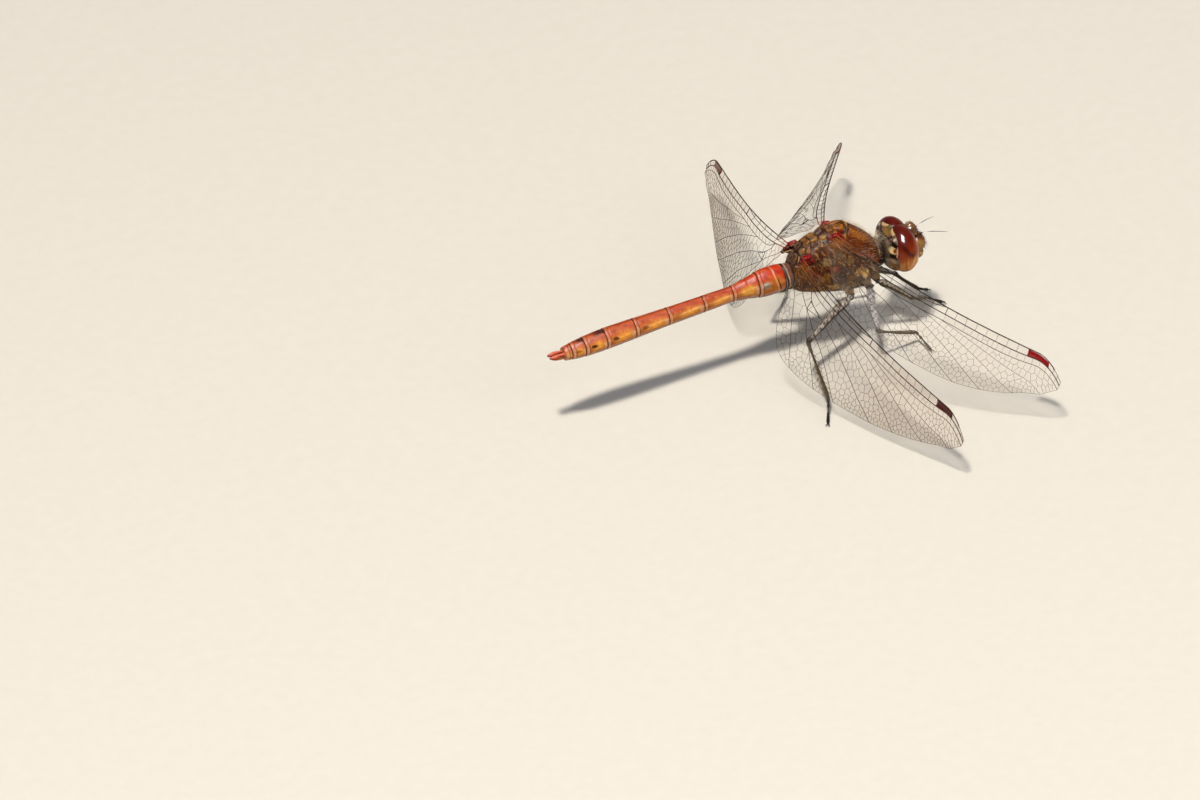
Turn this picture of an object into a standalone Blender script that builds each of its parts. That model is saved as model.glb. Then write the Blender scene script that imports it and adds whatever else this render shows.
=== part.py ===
"""Common darter dragonfly (Sympetrum striolatum), adult male, standing with its wings held forward and down.

Life size, in metres. +X is forward (the head), +Y is the animal's left, +Z is up; the feet stand on z = 0.
Every size below is in millimetres in the body's own frame, whose origin is the middle of the joint
between thorax and abdomen; body_point() turns it into the part's frame.
"""
import math

import bmesh
import bpy
from mathutils import Matrix, Vector

MM = 0.001

# Where the joint between thorax and abdomen lies in the part's frame.
BODY_FORWARD = 4.52
BODY_HEIGHT = 9.05

# Clearance between neighbouring pieces, and the half of it that each mitred limb end gives.
GAP = 0.03
HALF_GAP = GAP / 2

# Abdomen: length of each of its ten segments, and the droop of its centre line.
SEGMENT_LENGTHS = (0.9, 2.8, 2.7, 3.2, 3.9, 3.7, 3.2, 2.3, 1.4, 0.7)
ABDOMEN_DROOP = math.radians(2.2)
# Half height and half width against the distance behind the thorax: club, waist and swollen end.
ABDOMEN_HALF_HEIGHT = ((0.0, 1.25), (1.5, 1.45), (3.0, 1.44), (4.6, 1.12), (6.0, 0.88), (9.0, 0.86),
                       (12.0, 0.89), (15.0, 0.94), (18.0, 1.03), (20.5, 1.06), (22.5, 0.98), (24.0, 0.83),
                       (25.3, 0.60))
ABDOMEN_HALF_WIDTH = ((0.0, 1.20), (1.5, 1.35), (3.0, 1.31), (4.6, 1.00), (6.0, 0.79), (9.0, 0.79),
                      (12.0, 0.87), (15.0, 0.98), (18.0, 1.10), (20.5, 1.14), (22.5, 1.06), (24.0, 0.88),
                      (25.3, 0.62))
# How far the middle of a cross-section lies above the straight centre line: a slight arch.
ABDOMEN_ARCH = ((0.0, 0.06), (1.5, 0.15), (4.6, 0.20), (9.0, 0.16), (15.0, 0.14), (19.0, 0.11), (23.0, 0.02),
                (26.0, 0.0))
RIM_FLARE = 0.04
KEEL_RISE = 0.06
BELLY_FLATTENING = 0.12
ABDOMEN_RING_POINTS = 14
CERCUS_LENGTH = 1.60
CERCUS_RADIUS = 0.26
CERCUS_SPACING = 0.29
CERCUS_RISE = 0.12
EPIPROCT_LENGTH = 1.15
EPIPROCT_RADIUS = 0.26
EPIPROCT_DROP = 0.30

# Thorax: (forward, top, bottom, half width) of each cross-section.
THORAX_SECTIONS = ((-0.02, 1.30, -1.30, 1.18), (0.5, 2.30, -1.70, 1.68), (1.6, 3.10, -2.15, 2.08),
                   (3.3, 3.62, -2.60, 2.38), (4.8, 4.10, -3.00, 2.52), (6.2, 4.20, -3.25, 2.52),
                   (7.4, 3.50, -3.15, 2.32), (8.4, 2.60, -2.70, 1.95), (9.1, 1.75, -2.15, 1.50),
                   (9.5, 1.05, -1.60, 1.00))
THORAX_ROUNDNESS = 2.3
THORAX_TOP_NARROWING = 0.22
THORAX_RING_POINTS = 20

# Prothorax and head.
PROTHORAX_CENTRE = (9.72, 0.0, -0.50)
PROTHORAX_SEMI = (0.42, 1.25, 1.40)
HEAD_CENTRE = (11.10, 0.0, -0.50)
HEAD_SEMI = (1.15, 2.75, 2.10)
EYE_CENTRE = (11.88, 0.90, -0.20)
EYE_SEMI = (1.60, 2.40, 2.41)
FRONS_CENTRE = (13.84, 0.0, -0.55)
FRONS_SEMI = (0.95, 1.40, 0.85)
CLYPEUS_CENTRE = (13.61, 0.0, -1.38)
CLYPEUS_SEMI = (0.85, 1.45, 0.62)
MOUTH_CENTRE = (12.90, 0.0, -2.10)
MOUTH_SEMI = (1.00, 1.45, 0.75)
VERTEX_CENTRE = (13.55, 0.0, 1.15)
VERTEX_SEMI = (0.55, 0.62, 0.72)
ANTENNA_BASE = (14.05, 0.55, 0.25)
ANTENNA_TIP = (16.75, 1.65, 0.50)
FEELER_RADIUS = 0.25

# Wings: (root, length, sweep forward, droop, pitch at the root, pitch at the tip), angles in degrees.
FOREWING = {"root": (4.75, 1.36, 3.95), "length": 28.2, "sweep": 29.0, "droop": 14.4, "pitch": (20.1, 52.6)}
HINDWING = {"root": (0.86, 1.88, 2.55), "length": 28.55, "sweep": 8.5, "droop": 11.4, "pitch": (49.7, 73.6)}
WING_THICKNESS = 0.5
# Chord against the fraction of the wing's length.
FOREWING_CHORD = ((0.0, 1.8), (0.05, 3.0), (0.10, 4.4), (0.20, 6.0), (0.30, 6.5), (0.40, 6.7), (0.50, 6.7),
                  (0.60, 6.6), (0.70, 6.2), (0.80, 5.4), (0.90, 4.1), (0.95, 3.2), (1.0, 1.4))
HINDWING_CHORD = ((0.0, 2.5), (0.05, 6.0), (0.10, 8.0), (0.15, 8.7), (0.20, 8.9), (0.30, 8.8), (0.40, 8.4),
                  (0.50, 7.9), (0.60, 7.3), (0.70, 6.5), (0.80, 5.5), (0.90, 4.2), (0.95, 3.3), (1.0, 1.4))
WING_TIP_SETBACK = 1.5
TRAILING_SHARE_OF_SETBACK = 0.4
LEADING_EDGE_BOW = 0.65
PTEROSTIGMA_AT = 0.885
WING_TIP_START = 0.88
WING_SPAN_CELLS = 14
WING_CHORD_CELLS = 4

# Legs: hip, knee, ankle and toe of each.
LEG_JOINTS = {
    "fore_right": ((8.90, -1.25, -2.85), (12.2, -1.9, -5.6), (14.6, 0.6, -7.7), (16.6, 0.3, -8.85)),
    "mid_right": ((7.85, -1.50, -3.15), (6.7, -5.6, -5.7), (11.2, -4.7, -7.8), (11.7, -7.0, -8.85)),
    "hind_right": ((5.80, -1.70, -3.35), (-0.5, -4.6, -5.1), (-1.5, -11.0, -7.8), (-3.0, -13.8, -8.85)),
    "fore_left": ((8.90, 1.25, -2.85), (12.5, 2.4, -5.2), (14.9, 2.4, -7.8), (16.3, 3.2, -8.85)),
    "mid_left": ((7.85, 1.50, -3.15), (6.9, 5.5, -5.6), (11.2, 5.2, -7.8), (11.9, 7.4, -8.85)),
    "hind_left": ((5.80, 1.70, -3.35), (-0.5, 5.0, -4.3), (3.4, 9.2, -7.9), (5.0, 11.8, -8.85)),
}
COXA_LENGTH = 1.7
COXA_RADIUS = {"fore": 0.42, "mid": 0.46, "hind": 0.52}
FEMUR_RADIUS = {"fore": 0.34, "mid": 0.36, "hind": 0.41}
TIBIA_RADIUS = 0.27
TARSUS_RADIUS = 0.25
COXA_LEAN = (-0.15, 0.50, 1.0)
LIMB_OVERRUN = 0.6

COLOURS = {
    "eye": (0.20, 0.030, 0.012, 1.0),
    "face": (0.46, 0.17, 0.05, 1.0),
    "head": (0.33, 0.22, 0.12, 1.0),
    "antenna": (0.04, 0.03, 0.02, 1.0),
    "thorax": (0.30, 0.13, 0.05, 1.0),
    "abdomen": (0.52, 0.09, 0.015, 1.0),
    "leg": (0.05, 0.035, 0.025, 1.0),
    "wing": (0.55, 0.50, 0.40, 1.0),
}
ROUGHNESS = {"eye": 0.15, "wing": 0.25}
DEFAULT_ROUGHNESS = 0.45


# ---------------------------------------------------------------- helpers
def clear_scene():
    """Start from an empty scene."""
    for obj in list(bpy.data.objects):
        bpy.data.objects.remove(obj, do_unlink=True)


def make_collection(name):
    """A collection linked to the scene."""
    collection = bpy.data.collections.new(name)
    bpy.context.scene.collection.children.link(collection)
    return collection


def make_material(name):
    """A Principled material in one of the animal's colours."""
    material = bpy.data.materials.new(name)
    material.use_nodes = True
    shader = material.node_tree.nodes["Principled BSDF"]
    shader.inputs["Base Color"].default_value = COLOURS[name]
    shader.inputs["Roughness"].default_value = ROUGHNESS.get(name, DEFAULT_ROUGHNESS)
    shader.inputs["Metallic"].default_value = 0.0
    return material


def body_point(x, y, z):
    """A point of the body's frame (mm) in the part's frame (m)."""
    return Vector(((x + BODY_FORWARD) * MM, y * MM, (z + BODY_HEIGHT) * MM))


def interpolate(table, x):
    """Smooth value of a (position, value) table at x, with a flat slope past its ends."""
    if x <= table[0][0]:
        return table[0][1]
    if x >= table[-1][0]:
        return table[-1][1]
    index = max(i for i in range(len(table) - 1) if table[i][0] <= x)
    x0, y0 = table[index]
    x1, y1 = table[index + 1]

    def slope(i):
        if i == 0 or i == len(table) - 1:
            return (y1 - y0) / (x1 - x0)
        return (table[i + 1][1] - table[i - 1][1]) / (table[i + 1][0] - table[i - 1][0])

    width = x1 - x0
    t = (x - x0) / width
    start = (2 * t ** 3 - 3 * t ** 2 + 1) * y0 + (t ** 3 - 2 * t ** 2 + t) * width * slope(index)
    end = (-2 * t ** 3 + 3 * t ** 2) * y1 + (t ** 3 - t ** 2) * width * slope(index + 1)
    return start + end


def place(name, bm, matrix, slot, collection):
    """Make a named object of a bmesh whose vertices are in the matrix's frame."""
    bmesh.ops.recalc_face_normals(bm, faces=bm.faces)
    mesh = bpy.data.meshes.new(name)
    bm.to_mesh(mesh)
    bm.free()
    mesh.shade_smooth()
    mesh.set_sharp_from_angle(angle=math.radians(40))
    obj = bpy.data.objects.new(name, mesh)
    collection.objects.link(obj)
    obj.matrix_world = matrix
    if slot:
        mesh.materials.append(MATERIALS[slot])
    return obj


def ellipsoid(centre, semi, segments=16, rings=10):
    """A bmesh ellipsoid with its poles up and down, and the matrix of its centre."""
    bm = bmesh.new()
    bmesh.ops.create_uvsphere(bm, u_segments=segments, v_segments=rings, radius=MM)
    bmesh.ops.scale(bm, vec=Vector(semi), verts=bm.verts)
    return bm, Matrix.Translation(body_point(*centre))


def loft(rings):
    """A closed skin over rings of equal length, with a flat cap at each end."""
    bm = bmesh.new()
    loops = [[bm.verts.new(point) for point in ring] for ring in rings]
    count = len(loops[0])
    for near, far in zip(loops, loops[1:]):
        for i in range(count):
            j = (i + 1) % count
            bm.faces.new((near[i], near[j], far[j], far[i]))
    bm.faces.new(loops[0])
    bm.faces.new(loops[-1])
    return bm


def slice_off(bm, point, normal):
    """Cut away what lies on the normal's side of a plane, and close the cut."""
    geometry = bm.verts[:] + bm.edges[:] + bm.faces[:]
    cut = bmesh.ops.bisect_plane(bm, geom=geometry, dist=1e-9, plane_co=point, plane_no=normal,
                                 clear_outer=True)
    edges = [item for item in cut["geom_cut"] if isinstance(item, bmesh.types.BMEdge)]
    if edges:
        bmesh.ops.edgeloop_fill(bm, edges=edges)


def limb(points, radii):
    """A bmesh tube through points (m) whose radius (mm) changes from point to point."""
    curve = bpy.data.curves.new("limb", "CURVE")
    curve.dimensions = "3D"
    curve.bevel_depth = MM
    curve.bevel_resolution = 2
    curve.use_fill_caps = True
    spline = curve.splines.new("POLY")
    spline.points.add(len(points) - 1)
    for item, point, radius in zip(spline.points, points, radii):
        item.co = (point.x, point.y, point.z, 1.0)
        item.radius = radius
    tube = bpy.data.objects.new("limb", curve)
    bpy.context.scene.collection.objects.link(tube)
    evaluated = tube.evaluated_get(bpy.context.evaluated_depsgraph_get())
    mesh = bpy.data.meshes.new_from_object(evaluated)
    bm = bmesh.new()
    bm.from_mesh(mesh)
    bmesh.ops.remove_doubles(bm, verts=bm.verts, dist=1e-8)
    bpy.data.objects.remove(tube, do_unlink=True)
    bpy.data.curves.remove(curve)
    bpy.data.meshes.remove(mesh)
    return bm


def grown_cutter(obj, margin):
    """A hidden copy of an object, larger by the margin (mm) all round."""
    bm = bmesh.new()
    bm.from_mesh(obj.data)
    bm.normal_update()
    normals = [vertex.normal.copy() for vertex in bm.verts]
    for vertex, normal in zip(bm.verts, normals):
        vertex.co += normal * margin * MM
    cutter = place(obj.name + "_clearance", bm, obj.matrix_world, None, CUTTERS)
    cutter.hide_render = True
    cutter.display_type = "WIRE"
    return cutter


def carve(obj, cutters):
    """Cut each cutter's space out of an object."""
    for cutter in cutters:
        modifier = obj.modifiers.new("clear of " + cutter.name, "BOOLEAN")
        modifier.operation = "DIFFERENCE"
        modifier.solver = "EXACT"
        modifier.object = cutter


# ---------------------------------------------------------------- thorax
def thorax_ring(section, count=THORAX_RING_POINTS):
    """One cross-section: a rounded box that narrows towards the back."""
    forward, top, bottom, half_width = section
    middle = (top + bottom) / 2
    half_height = (top - bottom) / 2
    power = 2 / THORAX_ROUNDNESS
    ring = []
    for i in range(count):
        angle = 2 * math.pi * (i + 0.5) / count
        side = math.copysign(abs(math.cos(angle)) ** power, math.cos(angle))
        up = math.copysign(abs(math.sin(angle)) ** power, math.sin(angle))
        width = half_width * (1 - THORAX_TOP_NARROWING * max(0.0, up))
        ring.append(Vector((forward, side * width, middle + up * half_height)) * MM)
    return ring


def build_thorax():
    """The synthorax: the wing-bearing box between the neck and the abdomen."""
    rings = [thorax_ring(section) for section in THORAX_SECTIONS]
    return place("thorax", loft(rings), Matrix.Translation(body_point(0, 0, 0)), "thorax", PARTS)


# ---------------------------------------------------------------- abdomen
def abdomen_ring(distance, swell, count=ABDOMEN_RING_POINTS):
    """A cross-section of the abdomen: keeled above, flattened below."""
    half_height = interpolate(ABDOMEN_HALF_HEIGHT, distance) * swell
    half_width = interpolate(ABDOMEN_HALF_WIDTH, distance) * swell
    middle = interpolate(ABDOMEN_ARCH, distance)
    ring = []
    for i in range(count):
        angle = 2 * math.pi * (i + 0.5) / count
        side = math.cos(angle) * half_width
        up = math.sin(angle) * half_height
        keel = KEEL_RISE * half_height * max(0.0, math.sin(angle)) ** 8
        flat = BELLY_FLATTENING * half_height * max(0.0, -math.sin(angle)) ** 2
        ring.append(Vector((-distance, side, middle + up + keel + flat)) * MM)
    return ring


def build_abdomen():
    """Ten segments, each with a slightly flared rear rim that laps the next."""
    tilt = Matrix.Translation(body_point(0, 0, 0)) @ Matrix.Rotation(-ABDOMEN_DROOP, 4, "Y")
    start = GAP + 0.02
    segments = []
    for number, length in enumerate(SEGMENT_LENGTHS, start=1):
        end = start + length - GAP
        steps = 4 if length > 2 else 3
        rings = []
        for step in range(steps + 1):
            share = step / steps
            distance = start + (end - start) * share
            swell = 1 - 0.03 * (1 - share) ** 4 + RIM_FLARE * share ** 6
            rings.append(abdomen_ring(distance, swell))
        middle = Matrix.Translation(Vector((-(start + end) / 2 * MM, 0, 0)))
        bm = loft(rings)
        bmesh.ops.transform(bm, matrix=middle.inverted(), verts=bm.verts)
        segments.append(place("abdomen_%02d" % number, bm, tilt @ middle, "abdomen", PARTS))
        start += length
    return tilt, start, segments


def build_tail_claspers(tilt, start):
    """The male's two upper claspers and the plate between and below them."""
    for side, name in ((1, "cercus_left"), (-1, "cercus_right")):
        points = []
        for t in (0.0, 0.45, 1.0):
            across = side * (CERCUS_SPACING + 0.04 * t)
            points.append(tilt @ (Vector((-start - CERCUS_LENGTH * t, across, CERCUS_RISE + 0.08 * t)) * MM))
        middle = Matrix.Translation(points[1])
        bm = limb(points, (CERCUS_RADIUS * 0.9, CERCUS_RADIUS, CERCUS_RADIUS * 0.6))
        bmesh.ops.transform(bm, matrix=middle.inverted(), verts=bm.verts)
        place(name, bm, middle, "abdomen", PARTS)
    points = [tilt @ (Vector((-start - EPIPROCT_LENGTH * t, 0.0, -EPIPROCT_DROP)) * MM) for t in (0.0, 1.0)]
    middle = Matrix.Translation(points[0])
    bm = limb(points, (EPIPROCT_RADIUS, EPIPROCT_RADIUS * 0.65))
    bmesh.ops.transform(bm, matrix=middle.inverted(), verts=bm.verts)
    place("epiproct", bm, middle, "abdomen", PARTS)


# ---------------------------------------------------------------- head
def build_head():
    """Eyes, capsule, face pieces and feelers, each cut clear of what it is set against."""
    eyes = []
    for side, name in ((1, "eye_left"), (-1, "eye_right")):
        bm, matrix = ellipsoid((EYE_CENTRE[0], side * EYE_CENTRE[1], EYE_CENTRE[2]), EYE_SEMI, 20, 12)
        inner = Vector((0, side * (HALF_GAP - EYE_CENTRE[1]), 0)) * MM
        slice_off(bm, inner, Vector((0, -side, 0)))
        eyes.append(place(name, bm, matrix, "eye", PARTS))
    clear = [grown_cutter(eye, GAP) for eye in eyes]

    head = place("head", *ellipsoid(HEAD_CENTRE, HEAD_SEMI, 20, 12), "head", PARTS)
    carve(head, clear)
    clear.append(grown_cutter(head, GAP))
    for name, centre, semi in (("clypeus", CLYPEUS_CENTRE, CLYPEUS_SEMI),
                               ("frons", FRONS_CENTRE, FRONS_SEMI),
                               ("mouthparts", MOUTH_CENTRE, MOUTH_SEMI),
                               ("vertex", VERTEX_CENTRE, VERTEX_SEMI)):
        piece = place(name, *ellipsoid(centre, semi, 14, 9), "face", PARTS)
        carve(piece, clear)
        clear.append(grown_cutter(piece, GAP))
    for side, name in ((1, "antenna_left"), (-1, "antenna_right")):
        base = body_point(ANTENNA_BASE[0], side * ANTENNA_BASE[1], ANTENNA_BASE[2])
        tip = body_point(ANTENNA_TIP[0], side * ANTENNA_TIP[1], ANTENNA_TIP[2])
        middle = Matrix.Translation(base)
        bm = limb([base, tip], (FEELER_RADIUS, FEELER_RADIUS))
        bmesh.ops.transform(bm, matrix=middle.inverted(), verts=bm.verts)
        carve(place(name, bm, middle, "antenna", PARTS), clear)
    return head


def build_prothorax(head, thorax):
    """The narrow neck ring that carries the head."""
    prothorax = place("prothorax", *ellipsoid(PROTHORAX_CENTRE, PROTHORAX_SEMI, 14, 9), "thorax", PARTS)
    carve(prothorax, [grown_cutter(head, GAP), grown_cutter(thorax, GAP)])
    return prothorax


# ---------------------------------------------------------------- wings
def wing_matrix(wing, side):
    """Frame of a wing: x outwards along the span, y across it, z out of its upper face."""
    sweep = math.radians(wing["sweep"])
    droop = math.radians(wing["droop"])
    span = Vector((math.sin(sweep) * math.cos(droop), side * math.cos(sweep) * math.cos(droop),
                   -math.sin(droop)))
    back = Vector((-1, 0, 0))
    back = (back - back.dot(span) * span).normalized()
    across = back * side
    upper = span.cross(across)
    matrix = Matrix((span, across, upper)).transposed().to_4x4()
    root = wing["root"]
    matrix.translation = body_point(root[0], side * root[1], root[2])
    return matrix


def build_wing(name, wing, chords, side, clear):
    """A blade with the wing's outline, turned about its leading edge from root to tip."""
    bm = bmesh.new()
    bmesh.ops.create_grid(bm, x_segments=WING_SPAN_CELLS, y_segments=WING_CHORD_CELLS, size=0.5)
    for vertex in bm.verts:
        along = vertex.co.x + 0.5
        fraction = along ** 1.25 * 0.35 + (1 - (1 - along) ** 1.6) * 0.65
        across = vertex.co.y + 0.5
        tip = max(0.0, (fraction - WING_TIP_START) / (1 - WING_TIP_START))
        inboard = min(fraction / PTEROSTIGMA_AT, 1.0)
        setback = WING_TIP_SETBACK * tip ** 2 + LEADING_EDGE_BOW * math.sin(math.pi * inboard)
        chord = interpolate(chords, fraction)
        pitch = math.radians(wing["pitch"][0] + (wing["pitch"][1] - wing["pitch"][0]) * fraction)
        depth = setback + (chord - setback * TRAILING_SHARE_OF_SETBACK) * across
        vertex.co = Vector((wing["length"] * fraction, side * depth * math.cos(pitch),
                            -depth * math.sin(pitch))) * MM
    obj = place(name, bm, wing_matrix(wing, side), "wing", PARTS)
    shell = obj.modifiers.new("thickness", "SOLIDIFY")
    shell.thickness = WING_THICKNESS * MM
    shell.offset = 0.0
    carve(obj, clear)
    return obj


def build_wings(thorax):
    """Two pairs, rooted high on the thorax."""
    clear = [grown_cutter(thorax, GAP)]
    for side, hand in ((1, "left"), (-1, "right")):
        build_wing("wing_fore_" + hand, FOREWING, FOREWING_CHORD, side, clear)
        build_wing("wing_hind_" + hand, HINDWING, HINDWING_CHORD, side, clear)


# ---------------------------------------------------------------- legs
def limb_piece(name, start, end, radii, cuts):
    """A limb segment run past both its joints and cut on the planes given as (point, outward normal)."""
    along = (end - start).normalized()
    overrun = LIMB_OVERRUN * MM
    length = (end - start).length
    stations = [start - along * overrun, start, start + along * length * 0.35,
                start + along * length * 0.75, end, end + along * overrun]
    bm = limb(stations, (radii[0], radii[0], radii[1], radii[2], radii[3], radii[3]))
    for point, normal in cuts:
        slice_off(bm, point, normal)
    frame = Matrix.Translation(start)
    bmesh.ops.transform(bm, matrix=frame.inverted(), verts=bm.verts)
    return place(name, bm, frame, "leg", PARTS)


def mitre(joint, before, after):
    """The plane that halves the bend at a joint, as the normal pointing along the limb."""
    inward = (joint - before).normalized()
    outward = (after - joint).normalized()
    return (inward + outward).normalized()


def build_leg(name, clear):
    """Coxa, femur, tibia and tarsus; the tarsus ends in a small flat at z = 0."""
    pair = name.split("_")[0]
    hip, knee, ankle, toe = [body_point(*joint) for joint in LEG_JOINTS[name]]
    side = math.copysign(1, hip.y)
    lean = Vector((COXA_LEAN[0], -side * COXA_LEAN[1], COXA_LEAN[2])).normalized()
    root = hip + lean * COXA_LENGTH * MM
    half = HALF_GAP * MM

    at_hip = mitre(hip, root, knee)
    at_knee = mitre(knee, hip, ankle)
    at_ankle = mitre(ankle, knee, toe)

    width = COXA_RADIUS[pair]
    thigh = FEMUR_RADIUS[pair]
    coxa = limb_piece("leg_%s_coxa" % name, root, hip, (width, width, width * 0.92, thigh),
                      [(hip - at_hip * half, at_hip)])
    carve(coxa, clear)
    femur = limb_piece("leg_%s_femur" % name, hip, knee,
                       (thigh * 0.85, thigh, thigh * 0.92, TIBIA_RADIUS * 1.05),
                       [(hip + at_hip * half, -at_hip), (knee - at_knee * half, at_knee)])
    carve(femur, clear)
    limb_piece("leg_%s_tibia" % name, knee, ankle,
               (TIBIA_RADIUS, TIBIA_RADIUS, TIBIA_RADIUS * 0.96, TARSUS_RADIUS),
               [(knee + at_knee * half, -at_knee), (ankle - at_ankle * half, at_ankle)])
    floor = Vector((toe.x, toe.y, 0.0))
    limb_piece("leg_%s_tarsus" % name, ankle, toe, (TARSUS_RADIUS,) * 4,
               [(ankle + at_ankle * half, -at_ankle), (floor, Vector((0, 0, -1)))])


def build_legs(thorax, prothorax):
    """Six legs, crowded forward under the front of the thorax."""
    clear = [grown_cutter(thorax, GAP), grown_cutter(prothorax, GAP)]
    for name in LEG_JOINTS:
        build_leg(name, clear)


# ---------------------------------------------------------------- the animal
clear_scene()
PARTS = make_collection("common_darter")
CUTTERS = make_collection("cutters")
MATERIALS = {slot: make_material(slot) for slot in COLOURS}

thorax_object = build_thorax()
abdomen_tilt, abdomen_end, abdomen_segments = build_abdomen()
build_tail_claspers(abdomen_tilt, abdomen_end)
head_object = build_head()
prothorax_object = build_prothorax(head_object, thorax_object)
build_wings(thorax_object)
build_legs(thorax_object, prothorax_object)
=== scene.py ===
"""Common darter dragonfly, adult male, life size: the finish of the model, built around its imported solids."""
import math

import bpy
import numpy as np
from mathutils import Matrix, Vector, geometry


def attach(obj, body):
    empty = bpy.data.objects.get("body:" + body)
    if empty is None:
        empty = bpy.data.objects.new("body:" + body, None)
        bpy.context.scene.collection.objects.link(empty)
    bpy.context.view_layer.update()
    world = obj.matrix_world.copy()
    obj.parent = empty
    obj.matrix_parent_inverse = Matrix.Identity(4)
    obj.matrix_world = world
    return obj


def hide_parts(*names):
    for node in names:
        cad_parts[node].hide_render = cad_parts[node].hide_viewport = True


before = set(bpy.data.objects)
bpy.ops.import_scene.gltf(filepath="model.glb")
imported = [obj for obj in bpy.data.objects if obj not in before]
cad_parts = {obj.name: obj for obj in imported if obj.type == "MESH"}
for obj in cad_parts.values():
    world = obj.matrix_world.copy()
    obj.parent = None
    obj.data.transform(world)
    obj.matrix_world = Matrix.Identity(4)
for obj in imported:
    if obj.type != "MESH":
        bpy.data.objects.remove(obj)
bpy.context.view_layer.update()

# ================================================================ studio
# A matt pale table top under a key lamp above the thorax and a weaker, broader one to the right of the viewer,
# who stands at the animal's right side, a little behind it and above. Lengths are in mm from here on.
MM = 0.001
BODY_JOINT = np.array((4.52, 0.0, 9.05))    # joint of thorax and abdomen, from which the parts are measured
VIEW_TURN = math.radians(22.74)
VIEW_RISE = math.radians(32.76)
VIEW_ROLL = math.radians(4.54)
VIEW_WIDTH = 118.66
VIEW_CENTRE = (-18.7, -12.3)
LENS = 600.0
SENSOR = 36.0
# Direction of each lamp from the thorax, its distance and its width and depth in metres, watts and colour. The
# key gives the light and the shadows, the fill opens the shadows and the window gives the glints alone.
ABOVE = (-0.21, -0.25, 0.95)
LAMPS = {
    "key_lamp": (ABOVE, 0.8, (0.09, 0.09), 6.8, "#FFF6E8"),
    "fill_lamp": ((0.55, -1.0, 0.7), 0.9, (0.5, 0.5), 2.2, "#F6F6FF"),
    "window_lamp": (ABOVE, 0.7, (0.29, 0.47), 27.0, "#FFFFFF"),
}


def model_point(point):
    """A point measured in mm from the joint of thorax and abdomen, in the model's frame."""
    return Vector((np.asarray(point, dtype=float) + BODY_JOINT) * MM)


def linear(code):
    """The linear colour of an sRGB hex code."""
    channels = np.array([int(code[i:i + 2], 16) / 255 for i in (1, 3, 5)])
    return np.where(channels <= 0.04045, channels / 12.92, ((channels + 0.055) / 1.055) ** 2.4)


def add_node(material, kind, settings, links=()):
    """Add a node; settings are (field or socket, value) pairs and links are (socket, node, output) triples."""
    made = material.node_tree.nodes.new(kind)
    for key, value in settings:
        if isinstance(key, str) and hasattr(made, key):
            setattr(made, key, value)
        else:
            made.inputs[key].default_value = value
    for socket, source, output in links:
        link(material, source, output, made, socket)
    return made


def link(material, source, output, target, socket):
    """Join one node's output to another's input."""
    material.node_tree.links.new(source.outputs[output], target.inputs[socket])


def new_material(name, values):
    """A node material and its Principled shader, with those values on its sockets."""
    material = bpy.data.materials.new(name)
    material.use_nodes = True
    shader = material.node_tree.nodes["Principled BSDF"]
    for socket, value in values.items():
        shader.inputs[socket].default_value = value
    return material, shader


def select_only(*pieces):
    """Select these pieces and nothing else, the first of them active."""
    bpy.ops.object.select_all(action="DESELECT")
    for piece in pieces:
        piece.select_set(True)
    if pieces:
        bpy.context.view_layer.objects.active = pieces[0]


def placed_in_scene(name, data, turn):
    """A new lamp or camera of that name, turned."""
    thing = bpy.data.objects.new(name, data)
    bpy.context.scene.collection.objects.link(thing)
    thing.matrix_world = turn.to_4x4()
    return thing


level = Vector((math.cos(VIEW_TURN), -math.sin(VIEW_TURN), 0))
away = Vector((math.sin(VIEW_TURN), math.cos(VIEW_TURN), 0))
rising = away * math.sin(VIEW_RISE) + Vector((0, 0, math.cos(VIEW_RISE)))
right = level * math.cos(VIEW_ROLL) - rising * math.sin(VIEW_ROLL)
up = level * math.sin(VIEW_ROLL) + rising * math.cos(VIEW_ROLL)
back = right.cross(up)
camera_data = bpy.data.cameras.new("camera")
camera_data.sensor_width = SENSOR
camera_data.lens = LENS
camera_data.clip_start = 0.1
camera_data.clip_end = 20.0
camera = placed_in_scene("camera", camera_data, Matrix((right, up, back)).transposed())
aim = model_point((0, 0, 0)) + (right * VIEW_CENTRE[0] + up * VIEW_CENTRE[1]) * MM
camera.location = aim + back * (VIEW_WIDTH * MM * LENS / SENSOR)
bpy.context.scene.camera = camera

for name, (direction, distance, size, power, colour) in LAMPS.items():
    data = bpy.data.lights.new(name, "AREA")
    data.shape = "RECTANGLE"
    data.size, data.size_y = size
    data.energy = power
    data.color = linear(colour)
    towards = Vector(direction).normalized()
    lamp = placed_in_scene(name, data, towards.to_track_quat("Z", "Y").to_matrix())
    lamp.location = model_point((3, 0, 0)) + towards * distance
    lamp.visible_glossy = name == "window_lamp"
    lamp.visible_diffuse = name != "window_lamp"
studio = bpy.data.worlds.new("studio")
studio.use_nodes = True
sky = studio.node_tree.nodes["Background"].inputs
sky["Color"].default_value = (*linear("#EEF2F8"), 1)
sky["Strength"].default_value = 0.2
bpy.context.scene.world = studio
bpy.context.scene.view_settings.view_transform = "Standard"

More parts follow.
